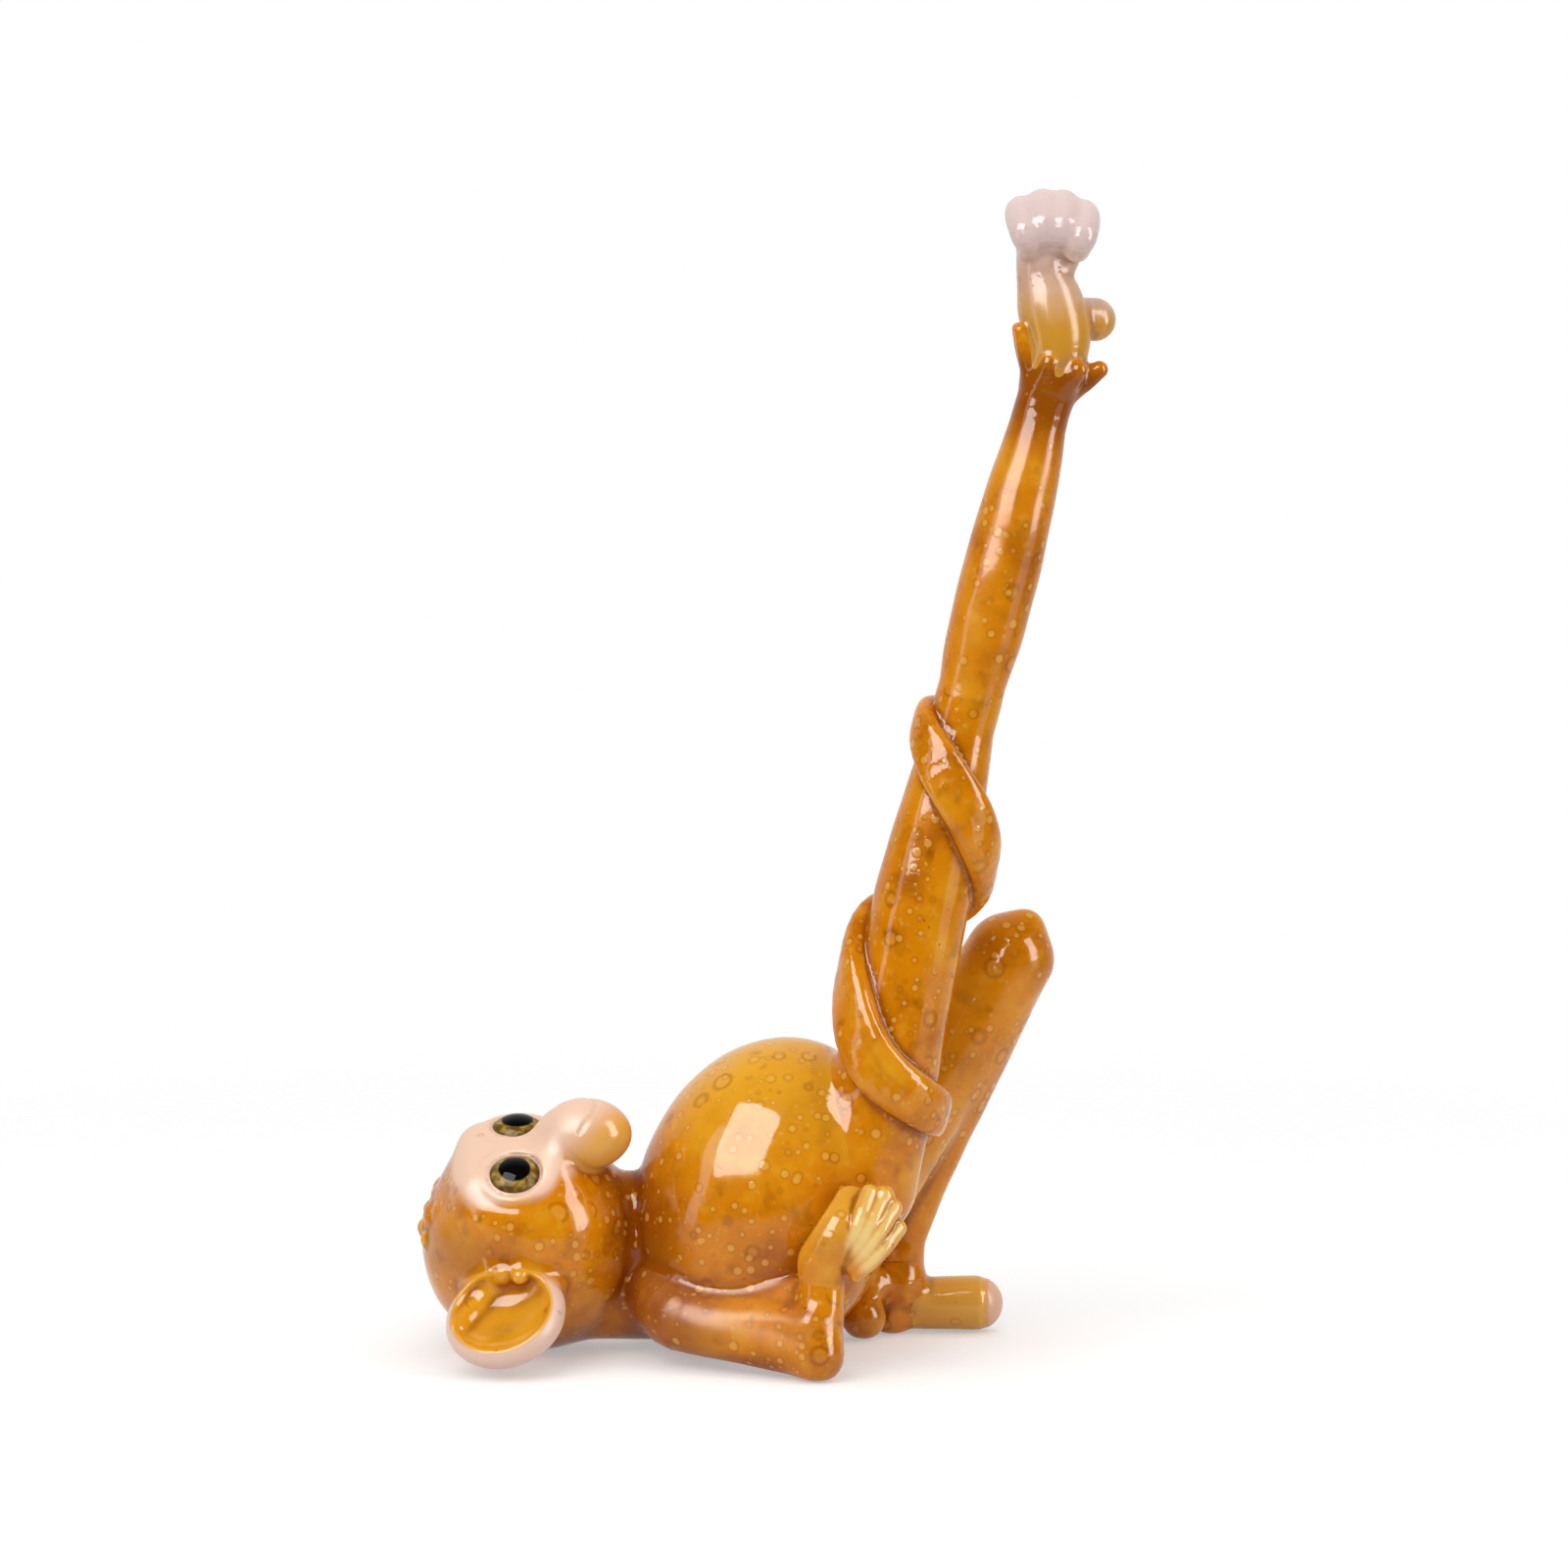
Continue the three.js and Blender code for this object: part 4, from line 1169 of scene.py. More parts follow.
@dataclass
class Arm:
    """Arm along the ground with an upright forearm and a hand on the hip."""

    side: Side
    shoulder_diameter: float = 16.4
    shoulder_aim: tuple = (-0.34, 0.66, -0.7)
    shoulder_standoff: float = 3.0
    elbow_diameter: float = 12.6
    elbow_forward: float = 34.0
    elbow_out: float = 18.2
    shoulder_root: tuple = (-3.0, -12.0, 3.0)
    shoulder_root_diameter: float = 21.0
    web_thickness: float = 5.6
    web_from: tuple = (4.8, 5.4, 2.0)
    web_to: tuple = (-1.0, 2.8, 1.5)
    web_top: tuple = (-2.0, 2.8, 8.0)
    shelf_from: tuple = (8.8, 3.0, 4.5)
    shelf_to: tuple = (-2.0, 1.8, 8.4)
    shelf_top: tuple = (-3.6, -5.0, -4.6)
    web_fillet: float = 3.0
    # Brown at the shoulder is dark glaze deepened with painted shade; brown low down is painted shade near
    # the ground.
    brown: float = 0.65
    shoulder_glaze_and_shade_ends: tuple = (2.0, -18.0)
    shoulder_glaze_and_shade_heights: tuple = (30.0, 22.0)
    under_shade_ends: tuple = (16.0, 4.0)
    under_shade_heights: tuple = (9.0, 3.0)
    satin_ends: tuple = (20.0, 8.0)
    satin_heights: tuple = (30.0, 24.0)
    wrist_diameter: float = 11.6
    wrist_forward: float = 1.5
    wrist_in: float = 3.7
    wrist_rise: float = 20.0
    thumb_root: tuple = (0.2, 1.0, 4.0)
    thumb_lean: float = 65.0
    thumb_length: float = 15.6
    thumb_diameters: tuple = (12.4, 11.2, 9.6, 7.6)
    finger_root: tuple = (5.6, 3.6, 5.4)
    finger_step: tuple = (0.95, 0.0, -1.75)
    finger_leans: tuple = (68.0, 61.5, 55.5, 47.5)
    finger_lengths: tuple = (16.4, 18.4, 18.0, 15.4)
    finger_diameter: float = 5.0
    finger_taper: tuple = (0.66, 0.8, 0.95, 0.9)
    finger_fillet: float = 0.9
    finger_curl: float = 3.2
    finger_arch: float = 1.8
    palm_thickness: float = 3.6
    palm_root_back: tuple = (1.5, 1.5, 0.0)
    palm_tip_in: float = 0.5
    palm_fillet: float = 3.0
    ridge_reach: tuple = (1.5, 1.1)
    ridge_start: tuple = (0.0, 0.3)
    ridge_width: tuple = (0.95, 0.2)
    hand_sunny: float = 0.6
    hand_sunny_heights: tuple = (0.0, 14.0)

    def place(self, torso: Torso) -> None:
        """Works out the joints.

        Args:
            torso: The body that carries the arm.
        """
        along, out, up = self.shoulder_aim
        skin = torso.on_skin(along, out * self.side, up)
        self.shoulder = skin + self.shoulder_standoff * unit(skin - torso.centre)
        elbow_shift = at(self.elbow_forward, self.side * self.elbow_out, 0)
        self.elbow = (self.shoulder + elbow_shift) * (1, 1, 0) + at(0, 0, self.elbow_diameter / 2)
        self.wrist = self.elbow + at(self.wrist_forward, -self.side * self.wrist_in, self.wrist_rise)

    def beside(self, start: Array, shift: Sequence[float]) -> Array:
        """Point reached from a start by lengths forward, away from the body and up."""
        forward, out, up = shift
        return start + at(forward, self.side * out, up)

    def finger(self, root: Array, lean: float, length: float, diameters: tuple) -> Limb:
        """Finger that leans up from level, arches outwards and curls in at its tip."""
        reach = length * at(math.cos(math.radians(lean)), 0, math.sin(math.radians(lean)))
        outward = at(0, self.side, 0)
        middle = root + reach / 2 + self.finger_arch * outward
        return Limb((root, middle, root + reach - self.finger_curl * outward), diameters, steps=5)

    def paint_arm(self, spots: Spots) -> Masks:
        """Brown towards the shoulder, where dark glaze is deepened with painted shade, painted shade in brown
        low down near the ground, and less shine at the shoulder.
        """
        x, z = spots[:, 0], spots[:, 2]
        shoulder = ramp(*self.shoulder_glaze_and_shade_ends, x) * ramp(*self.shoulder_glaze_and_shade_heights, z)
        under = ramp(*self.under_shade_heights, z) * ramp(*self.under_shade_ends, x)
        satin = ramp(*self.satin_ends, x) * ramp(*self.satin_heights, z)
        # The brown here is partly painted shade, towards the shoulder and near the ground.
        return {"brown": self.brown * np.maximum(shoulder, under), "satin": satin}

    def upper_arm(self) -> Piece:
        """Roll from the shoulder to the elbow, with two flat webs that give it its ridge."""
        root = self.beside(self.shoulder, self.shoulder_root)
        middle = (self.shoulder + self.elbow) / 2
        thick = (self.shoulder_diameter + self.elbow_diameter) / 2
        widths = (self.shoulder_root_diameter, self.shoulder_diameter, thick, self.elbow_diameter)
        parts = [Limb((root, self.shoulder, middle, self.elbow), widths, steps=4)]
        web = ((self.shoulder, self.web_from), (self.elbow, self.web_to), (self.elbow, self.web_top))
        shelf = ((self.shoulder, self.shelf_from), (self.elbow, self.shelf_to), (self.wrist, self.shelf_top))
        for corners in (web, shelf):
            parts.append(Plate(tuple(self.beside(*corner) for corner in corners), self.web_thickness))
        form = Melted(tuple(parts), self.web_fillet)
        name = f"{self.side.word}_upper_arm"
        return Piece(name, form, Finish.AMBER, weld=3.2, grain=0.7, paint=self.paint_arm)

    def forearm(self) -> Piece:
        """Roll from the elbow up to the wrist."""
        form = Limb((self.elbow, self.wrist), (self.elbow_diameter, self.wrist_diameter))
        return Piece(f"{self.side.word}_forearm", form, Finish.AMBER, weld=3.0, grain=0.7)

    def hand(self) -> Piece:
        """Thumb and four fingers side by side on a thin palm."""
        thumb_root = self.beside(self.wrist, self.thumb_root)
        thumb = self.finger(thumb_root, self.thumb_lean, self.thumb_length, self.thumb_diameters)
        widths = tuple(share * self.finger_diameter for share in self.finger_taper)
        fingers = []
        for count, (lean, length) in enumerate(zip(self.finger_leans, self.finger_lengths)):
            root = self.beside(self.wrist, at(*self.finger_root) + count * at(*self.finger_step))
            fingers.append(self.finger(root, lean, length, widths))
        inner = self.beside(self.wrist, at(*self.finger_root) - self.palm_root_back)
        tip_shift = at(0, self.side * self.palm_tip_in, 0)
        tips = [finger.line[2] - tip_shift for finger in (thumb, fingers[1], fingers[-1])]
        plates = [Plate((inner, first, second), self.palm_thickness) for first, second in zip(tips, tips[1:])]
        form = Melted((Melted((thumb, *plates), self.palm_fillet), *fingers), self.finger_fillet)

        def paint(spots: Spots) -> Masks:
            """Pale ridges along the fingers, on glaze that gets lighter towards the tips."""
            ridge = np.zeros(len(spots))
            radius = self.finger_diameter / 2
            for finger in fingers:
                gap, share, count = finger.nearest(spots)
                height = spots[:, 1] - finger.along(finger.knots, count)[:, 1]
                aside = np.sqrt(np.maximum(gap**2 - height**2, 0.0)) / radius
                close = ramp(*self.ridge_reach, gap / radius) * ramp(*self.ridge_start, share)
                ridge = np.maximum(ridge, close * ramp(*self.ridge_width, aside))
            sunny = self.hand_sunny * ramp(*self.hand_sunny_heights, spots[:, 2] - self.wrist[2])
            return {"pale": ridge, "sunny": sunny}

        return Piece(f"{self.side.word}_hand", form, Finish.HONEY, weld=3.0, grain=0.45, paint=paint)

    def pieces(self) -> list[Piece]:
        """Upper arm, forearm and hand."""
        return [self.upper_arm(), self.forearm(), self.hand()]


@dataclass
class FurCuff:
    """Collar at an ankle with tufts of fur that flare towards the foot."""

    node: str
    ankle: Array
    along: Array
    long: float
    stubby: float
    front: float
    diameter: float = 14.5
    length: float = 11.0
    collar_taper: float = 0.86
    tufts: int = 7
    flare: float = 36.0
    stubby_flare: float = 46.0
    stubby_from: float = 0.5
    rise: float = 2.75
    inset: float = 2.4
    bend_out: float = 0.8
    bend_back: float = 0.6
    root_diameter: float = 7.4
    tip_diameter: float = 3.2
    stubby_tip_diameter: float = 4.6
    fillet: float = 2.4
    brown: float = 0.8
    brown_start: tuple = (-16.0, 2.0)
    brown_end: tuple = (17.0, 9.0)
    plain_start: tuple = (-16.0, -6.0)
    satin: float = 0.25
    satin_start: tuple = (-2.0, -12.0)

    def paint(self, spots: Spots) -> Masks:
        """Darker glaze without bubbles at the collar, and less shine on the leg that it sits on."""
        rise = (spots - self.ankle) @ self.along
        brown = self.brown * ramp(*self.brown_start, rise) * ramp(*self.brown_end, rise)
        satin = self.satin * ramp(*self.satin_start, rise)
        return {"brown": brown, "plain": ramp(*self.plain_start, rise), "satin": satin}

    def piece(self) -> Piece:
        """The collar and its tufts."""
        aim = np.stack((unit(np.cross((0, 1, 0), self.along)), at(0, 1, 0), self.along), axis=1)
        collar_end = self.ankle + self.along * self.length / 2
        parts = [Limb((self.ankle, collar_end), (self.collar_taper * self.diameter, self.diameter))]
        for count in range(self.tufts):
            around = 2 * math.pi * count / self.tufts
            away = math.cos(around)
            tilt = math.radians(self.flare + (self.stubby_flare - self.flare) * (1 + away) / 2)
            flare = aim @ at(math.sin(tilt) * away, math.sin(tilt) * math.sin(around), math.cos(tilt))
            side = self.stubby if away > 0 else self.long
            start = self.ankle + self.along * self.rise + flare * (self.diameter / 2 - self.inset)
            tip = start + flare * (self.front + (side - self.front) * abs(away))
            bend = (start + tip) / 2 + self.bend_out * flare - self.bend_back * self.along
            end = self.stubby_tip_diameter if away > self.stubby_from else self.tip_diameter
            widths = (self.root_diameter, (self.root_diameter + end) / 2, end)
            parts.append(Limb((start, bend, tip), widths, steps=4))
        form = Melted(tuple(parts), self.fillet)
        return Piece(self.node, form, Finish.AMBER, weld=2.4, grain=0.6, paint=self.paint)


@dataclass
class RaisedLeg:
    """Straight raised leg with a curled foot, and the tail that winds up it."""

    hip_out: float = 14.0
    hip_rise: float = 6.3
    hip_sink: float = 6.6
    thigh_length: float = 124.8
    thigh_lean: float = 11.7
    thigh_bow: float = 1.0
    thigh_bow_at: float = 0.6
    thigh_diameters: tuple = (26.0, 26.0, 24.8, 24.4, 20.8, 15.6)
    shin_length: float = 76.5
    shin_lean: float = 14.2
    shin_diameters: tuple = (15.6, 19.2, 19.4, 17.6, 13.6)
    inward: float = 2.0
    foot_rises: tuple = (12.0, 20.0, 28.0, 36.0, 44.0)
    foot_shifts: tuple = (3.4, 3.6, 1.8, -0.2, 0.4)
    foot_diameters: tuple = (15.5, 17.4, 16.6, 12.8, 14.4)
    foot_middle: tuple = (2.4, 0.0, 25.0)
    foot_fillet: float = 1.4
    foot_sunny_heights: tuple = (36.0, 20.0)
    foot_pale_heights: tuple = (34.0, 44.0)
    toes: int = 4
    toe_diameter: float = 8.8
    toe_taper: tuple = (0.9, 1.0, 1.0, 0.8)
    toe_spacing: float = 4.7
    toe_root_spread: float = 0.3
    toe_rise: float = 47.5
    toe_curl: float = 8.0
    toe_arch: float = 1.05
    highest_toe: float = 1.35
    toe_tuck: float = 3.0
    toe_drop: float = 3.4
    toe_end_spread: float = 0.85
    big_toe_diameter: float = 11.0
    big_toe_stalk: float = 7.7
    big_toe_out: float = 16.5
    big_toe_back: float = 6.0
    big_toe_drop: float = 2.0
    big_toe_sunny: float = 0.95
    big_toe_sunny_heights: tuple = (4.5, -1.5)
    tuft_long: float = 16.0
    tuft_stubby: float = 11.0
    tuft_front: float = 5.5
    tail_widths: tuple = (11.0, 12.6, 14.0, 14.4, 14.0, 13.4, 12.0, 8.0)
    tail_flat: float = 0.5
    tail_turns: float = 1.78
    tail_start_angle: float = -50.0
    tail_heights: tuple = (20.0, 21.0, 24.5, 32.0, 48.5, 62.7, 70.0, 78.0, 87.0, 100.0, 111.5, 119.0, 121.5)
    tail_lift: float = 1.6
    tail_root_lift: float = 0.5
    tail_root_share: float = 0.1
    tail_root_depth: float = 12.0
    tail_steps: int = 36

    def place(self, torso: Torso) -> None:
        """Works out the joints.

        Args:
            torso: The body that carries the leg.
        """
        self.torso = torso
        front = torso.on_skin(1, 0, 0)[0]
        self.hip = at(front - self.hip_sink, -self.hip_out, torso.height + self.hip_rise)
        self.knee = self.leaning(self.hip, self.thigh_length, self.thigh_lean)
        self.ankle = self.leaning(self.knee, self.shin_length, self.shin_lean)
        self.along = unit(self.ankle - self.knee)
        share = self.thigh_bow_at
        middle = (1 - share) * self.hip + share * self.knee - at(self.thigh_bow, 0, 0)
        self.thigh_line = (self.hip, middle, self.knee)
        self.foot = self.ankle + at(*self.foot_middle)

    def leaning(self, start: Array, length: float, lean: float) -> Array:
        """Point reached by a length that leans from upright towards the feet."""
        lean = math.radians(lean)
        return start + at(length * math.sin(lean), self.inward, length * math.cos(lean))

    def thigh_at(self, height: float) -> tuple[Array, Array, float]:
        """Middle, direction and radius of the thigh at a height from the hip."""
        bow = (0.0, self.thigh_bow_at, 1.0)
        share = float(np.interp(height / self.thigh_length, bow, (0.0, 0.5, 1.0)))
        nudge = 0.01
        places = np.array((max(share - nudge, 0.0), share, min(share + nudge, 1.0)))
        behind, middle, ahead = spread(self.thigh_line, places)
        radius = float(spread(self.thigh_diameters, np.array((share,)))[0]) / 2
        return middle, unit(ahead - behind), radius

    def tail_line(self) -> tuple[list[Array], list[Array]]:
        """Line of the tail, out of the rump and up the leg in a helix, and its outward side there."""
        steps = round(self.tail_turns * self.tail_steps)
        line, outs = [], []
        for share in np.linspace(0.0, 1.0, steps + 1):
            middle, along, radius = self.thigh_at(float(spread(self.tail_heights, np.array((share,)))[0]))
            around = math.radians(self.tail_start_angle + 360 * self.tail_turns * share)
            risen = float(ramp(0.0, self.tail_root_share, np.array(share)))
            stand = radius + self.tail_root_lift + (self.tail_lift - self.tail_root_lift) * risen
            right = unit(at(1, 0, 0) - along[0] * along)
            back = np.cross(along, right)
            outs.append(math.cos(around) * right - math.sin(around) * back)
            line.append(middle + stand * outs[-1])
        root = line[0] + self.tail_root_depth * unit(self.torso.centre - line[0])
        return [root, *line], [outs[0], *outs]

    def paint_foot(self, spots: Spots) -> Masks:
        """Golden instep under pale pink toes."""
        height = spots[:, 2] - self.ankle[2]
        sunny, pale = ramp(*self.foot_sunny_heights, height), ramp(*self.foot_pale_heights, height)
        return {"sunny": sunny, "pale": pale}

    def foot_piece(self) -> Piece:
        """Sole with toes that curl over."""
        line = [self.ankle + at(shift, 0, rise) for rise, shift in zip(self.foot_rises, self.foot_shifts)]
        parts = [Limb(tuple(line), self.foot_diameters, steps=5)]
        widths = tuple(share * self.toe_diameter for share in self.toe_taper)
        for count in range(self.toes):
            across = (count - (self.toes - 1) / 2) * self.toe_spacing
            height = self.ankle[2] + self.toe_rise - self.toe_arch * (count - self.highest_toe) ** 2
            x, y = self.foot[0] + across, self.foot[1]
            root = at(self.foot[0] + across * self.toe_root_spread, y, height - self.toe_curl)
            knuckle, tip = at(x, y, height + self.toe_curl / 2), at(x, y - self.toe_curl, height)
            under_x = self.foot[0] + self.toe_end_spread * across
            under = at(under_x, y - self.toe_curl + self.toe_tuck, height - self.toe_drop)
            parts.append(Limb((root, knuckle, tip, under), widths, steps=5))
        form = Melted(tuple(parts), self.foot_fillet)
        return Piece("raised_foot", form, Finish.BLUSH, weld=1.5, grain=0.55, paint=self.paint_foot)

    def big_toe_piece(self) -> Piece:
        """Ball on a short stalk."""
        out = self.big_toe_out - self.big_toe_diameter / 2
        end = self.foot + at(out, self.big_toe_back, -self.big_toe_drop)
        form = Limb((self.foot, end), (self.big_toe_stalk, self.big_toe_diameter))

        def paint(spots: Spots) -> Masks:
            """Golden underneath."""
            return {"sunny": self.big_toe_sunny * ramp(*self.big_toe_sunny_heights, spots[:, 2] - end[2])}

        return Piece("raised_big_toe", form, Finish.BLUSH, weld=1.5, grain=0.55, paint=paint)

    def pieces(self) -> list[Piece]:
        """Thigh, shin, foot, big toe and cuff."""
        thigh = Limb(self.thigh_line, self.thigh_diameters, steps=8)
        shin = Limb((self.knee, self.ankle), self.shin_diameters)
        tufts = (self.tuft_long, self.tuft_stubby, self.tuft_front)
        cuff = FurCuff("raised_fur_cuff", self.ankle, self.along, *tufts)
        return [
            Piece("raised_thigh", thigh, Finish.AMBER, weld=7.0, grain=0.9),
            Piece("raised_shin", shin, Finish.AMBER, weld=3.0, grain=0.8, paint=cuff.paint),
            self.foot_piece(),
            self.big_toe_piece(),
            cuff.piece(),
        ]

    def tail_piece(self) -> Piece:
        """One long flattened roll wound up the leg."""
        line, outs = self.tail_line()
        form = Band(tuple(line), self.tail_widths, outs=tuple(outs), flat=self.tail_flat)
        return Piece("tail", form, Finish.AMBER, weld=1.2, grain=0.65)


@dataclass
class BentLeg:
    """Leg with its knee up and its foot flat on the ground."""

    hip_out: float = 14.0
    hip_rise: float = 3.3
    hip_sink: float = 5.6
    thigh_length: float = 67.5
    thigh_lean: float = 32.5
    thigh_diameters: tuple = (27.0, 26.0, 24.5, 23.0)
    # Painted light that lifts the thigh where the raised leg shades it, strongest towards the hip.
    thigh_painted_light: float = 0.4
    painted_light_past_knee: float = 4.0
    painted_light_past_hip: float = 6.0
    knee_out: float = 4.0
    knee_cap: tuple = (4.6, 0.0, 8.2)
    knee_cap_diameter: float = 8.4
    knee_fillet: float = 4.0
    shin_diameters: tuple = (21.0, 19.5, 15.5, 12.0, 11.0)
    ankle_forward: float = 7.8
    ankle_out: float = 8.0
    ankle_rise: float = 6.0
    heel_diameter: float = 10.5
    heel_shift: tuple = (-1.5, -1.0)
    heel_sink: float = 1.0
    heel_fillet: float = 2.0
    foot_length: float = 29.0
    foot_ahead: float = 13.0
    foot_out: float = 2.0
    foot_height: float = 14.4
    foot_taper: float = 0.94
    tip_blush: float = 0.8
    tip_blush_ends: tuple = (-5.6, -3.2)
    sole_sunny: float = 0.9
    sole_sunny_ends: tuple = (-1.0, -6.0)
    sole_pale: float = 0.15
    sole_pale_ends: tuple = (-4.0, -6.0)
    toe_line_back: float = 4.6
    toe_line_proud: float = 0.9
    toe_line_thickness: float = 1.6
    toe_line_edge: float = 1.0
    big_toe_diameter: float = 11.6
    big_toe_stalk: float = 6.4
    big_toe_knuckle: tuple = (3.0, 4.0, 8.0)
    big_toe_knuckle_share: float = 1.3
    big_toe_fillet: float = 1.2
    big_toe_root_rise: float = 4.0
    big_toe_back: float = 9.0
    big_toe_in: float = 10.0
    tuft_long: float = 6.0
    tuft_front: float = 4.0

    def place(self, torso: Torso) -> None:
        """Works out the joints.

        Args:
            torso: The body that carries the leg.
        """
        lean = math.radians(self.thigh_lean)
        front = torso.on_skin(1, 0, 0)[0]
        forward, rise = self.thigh_length * math.sin(lean), self.thigh_length * math.cos(lean)
        self.hip = at(front - self.hip_sink, self.hip_out, torso.height + self.hip_rise)
        self.knee = self.hip + at(forward, self.knee_out, rise)
        self.ankle = (self.hip + at(self.ankle_forward, self.ankle_out, 0)) * (1, 1, 0)
        self.ankle = self.ankle + at(0, 0, self.foot_height + self.ankle_rise)
        foot_shift = at(self.foot_ahead, self.foot_out, 0)
        self.foot = (self.ankle + foot_shift) * (1, 1, 0) + at(0, 0, self.foot_height / 2)

    def paint_thigh(self, spots: Spots) -> Masks:
        """Painted light: lighter and golden towards the hip, where the raised leg shades the thigh."""
        ends = (self.knee[0] + self.painted_light_past_knee, self.hip[0] + self.painted_light_past_hip)
        return {"sunny": self.thigh_painted_light * ramp(*ends, spots[:, 0])}

    def paint_foot(self, spots: Spots) -> Masks:
        """Golden, a little paler towards the heel, and pink at the tip."""
        ahead = spots[:, 0] - self.foot[0] - self.foot_length / 2
        return {
            "blush": self.tip_blush * ramp(*self.tip_blush_ends, ahead),
            "sunny": self.sole_sunny * ramp(*self.sole_sunny_ends, ahead),
            "pale": self.sole_pale * ramp(*self.sole_pale_ends, ahead),
        }

    def thigh(self) -> Piece:
        """Roll from the hip to the knee, with a knee cap."""
        cap = ball(self.knee + at(*self.knee_cap), self.knee_cap_diameter)
        form = Melted((Limb((self.hip, self.knee), self.thigh_diameters), cap), self.knee_fillet)
        return Piece("bent_thigh", form, Finish.AMBER, weld=6.0, grain=0.9, paint=self.paint_thigh)

    def shin(self) -> Piece:
        """Roll from the knee to the ankle and on to the heel."""
        calf = Limb((self.knee, self.ankle), self.shin_diameters)
        heel_end = self.ankle * (1, 1, 0) + at(*self.heel_shift, self.heel_diameter / 2 - self.heel_sink)
        heel = Limb((self.ankle, heel_end), (self.shin_diameters[-1], self.heel_diameter))
        form = Melted((calf, heel), self.heel_fillet)
        return Piece("bent_shin", form, Finish.AMBER, weld=2.5, grain=0.8)

    def foot_piece(self) -> Piece:
        """Round sole with a groove behind its tip."""
        reach = at((self.foot_length - self.foot_height) / 2, 0, 0)
        widths = (self.foot_taper * self.foot_height, self.foot_height)
        sole = Limb((self.foot - reach, self.foot + reach), widths)
        groove_middle = self.foot + at(self.foot_length / 2 - self.toe_line_back, 0, 0)
        groove_diameter = self.foot_height + self.toe_line_proud
        groove = Ring(groove_middle, turn_about_y(90), groove_diameter, self.toe_line_thickness)
        form = Carved(sole, groove, self.toe_line_edge)
        return Piece("bent_foot", form, Finish.HONEY, weld=2.5, grain=0.6, paint=self.paint_foot)

    def big_toe_piece(self) -> Piece:
        """Bent stalk from the heel to a ball on the ground."""
        low = self.big_toe_diameter / 2
        tip = at(self.ankle[0] - self.big_toe_back, self.ankle[1] - self.big_toe_in, low)
        knuckle = tip + at(*self.big_toe_knuckle)
        root = at(self.ankle[0], self.ankle[1], low + self.big_toe_root_rise)
        wide = self.big_toe_stalk
        stalk = Limb((root, knuckle, tip), (wide, self.big_toe_knuckle_share * wide, wide), steps=4)
        form = Melted((stalk, ball(tip, self.big_toe_diameter)), self.big_toe_fillet)
        return Piece("bent_big_toe", form, Finish.HONEY, weld=1.8, grain=0.55)

    def pieces(self) -> list[Piece]:
        """Thigh, shin, foot, big toe and cuff."""
        tufts = (self.tuft_long, self.tuft_long, self.tuft_front)
        cuff = FurCuff("bent_fur_cuff", self.ankle, at(0, 0, -1), *tufts, brown=0.0)
        return [self.thigh(), self.shin(), self.foot_piece(), self.big_toe_piece(), cuff.piece()]


# Glazes

WHITE = (1.0, 1.0, 1.0, 1.0)


def srgb(red: int, green: int, blue: int) -> tuple[float, float, float, float]:
    """Colour as seen, from 0 to 255, for a shader."""
    seen = np.array((red, green, blue)) / 255
    linear = np.where(seen <= 0.04045, seen / 12.92, ((seen + 0.055) / 1.055) ** 2.4)
    return (*linear.tolist(), 1.0)


@dataclass(frozen=True)
class Glaze:
    """Colours of one glaze, how much it bubbles and how rough it is."""

    bubbles: float
    roughness: float
    sunny: tuple
    pale: tuple
    base: tuple = srgb(222, 134, 5)
    deep: tuple = srgb(140, 60, 2)
    thin: tuple = srgb(242, 184, 84)
    blush: tuple = srgb(240, 196, 170)
    brown: tuple = srgb(138, 62, 8)


GLAZES = {
    Finish.AMBER: Glaze(
        bubbles=1.0,
        roughness=0.07,
        sunny=srgb(240, 176, 40),
        pale=srgb(238, 206, 198),
        blush=srgb(244, 204, 176),
    ),
    Finish.HONEY: Glaze(
        bubbles=0.35,
        roughness=0.08,
        sunny=srgb(240, 176, 60),
        pale=srgb(250, 212, 134),
    ),
    Finish.BLUSH: Glaze(
        bubbles=0.0,
        roughness=0.16,
        sunny=srgb(216, 152, 44),
        pale=srgb(228, 202, 197),
        base=srgb(232, 196, 172),
        deep=srgb(176, 122, 92),
        thin=srgb(244, 226, 220),
    ),
}
TONES = ("Base", "Deep", "Thin", "Sunny", "Blush", "Pale", "Brown")
BRUSHED = ("Sunny", "Brown", "Blush", "Pale")


@dataclass(frozen=True)
class EyeGlaze:
    """Colours of an eye, and the sizes of its outline in millimetres from the front of the ball."""

    dark: tuple = srgb(104, 78, 20)
    light: tuple = srgb(184, 148, 78)
    outline: tuple = srgb(66, 40, 14)
    pupil: tuple = srgb(8, 8, 8)
    grain_scale: float = 0.55
    grain_range: tuple = (0.35, 0.68)
    outline_range: tuple = (5.4, 7.2)
    outline_share: float = 0.85
    pupil_edge: float = 0.3
    gloss: float = 0.08
    roughness: float = 0.05
    outline_roughness: float = 0.06


@dataclass(frozen=True)
class Mottle:
    """Cloudy noise in a glaze, and the tones that it brings out, each with its range and share."""

    scale: float
    detail: float
    tones: tuple


MOTTLES = (
    Mottle(0.05, 3.0, (("Deep", (0.48, 0.72), 0.42), ("Sunny", (0.50, 0.28), 0.45))),
    Mottle(0.14, 3.0, (("Deep", (0.52, 0.74), 0.38), ("Sunny", (0.46, 0.28), 0.35))),
    Mottle(0.42, 2.0, (("Thin", (0.55, 0.75), 0.16),)),
)


# Mask, tone, its share on bare glaze, and what a brushed glaze takes away from that
EDGE_TONES = (("thin", "Thin", 0.6, 0.6), ("pooled", "Deep", 0.72, 0.5))


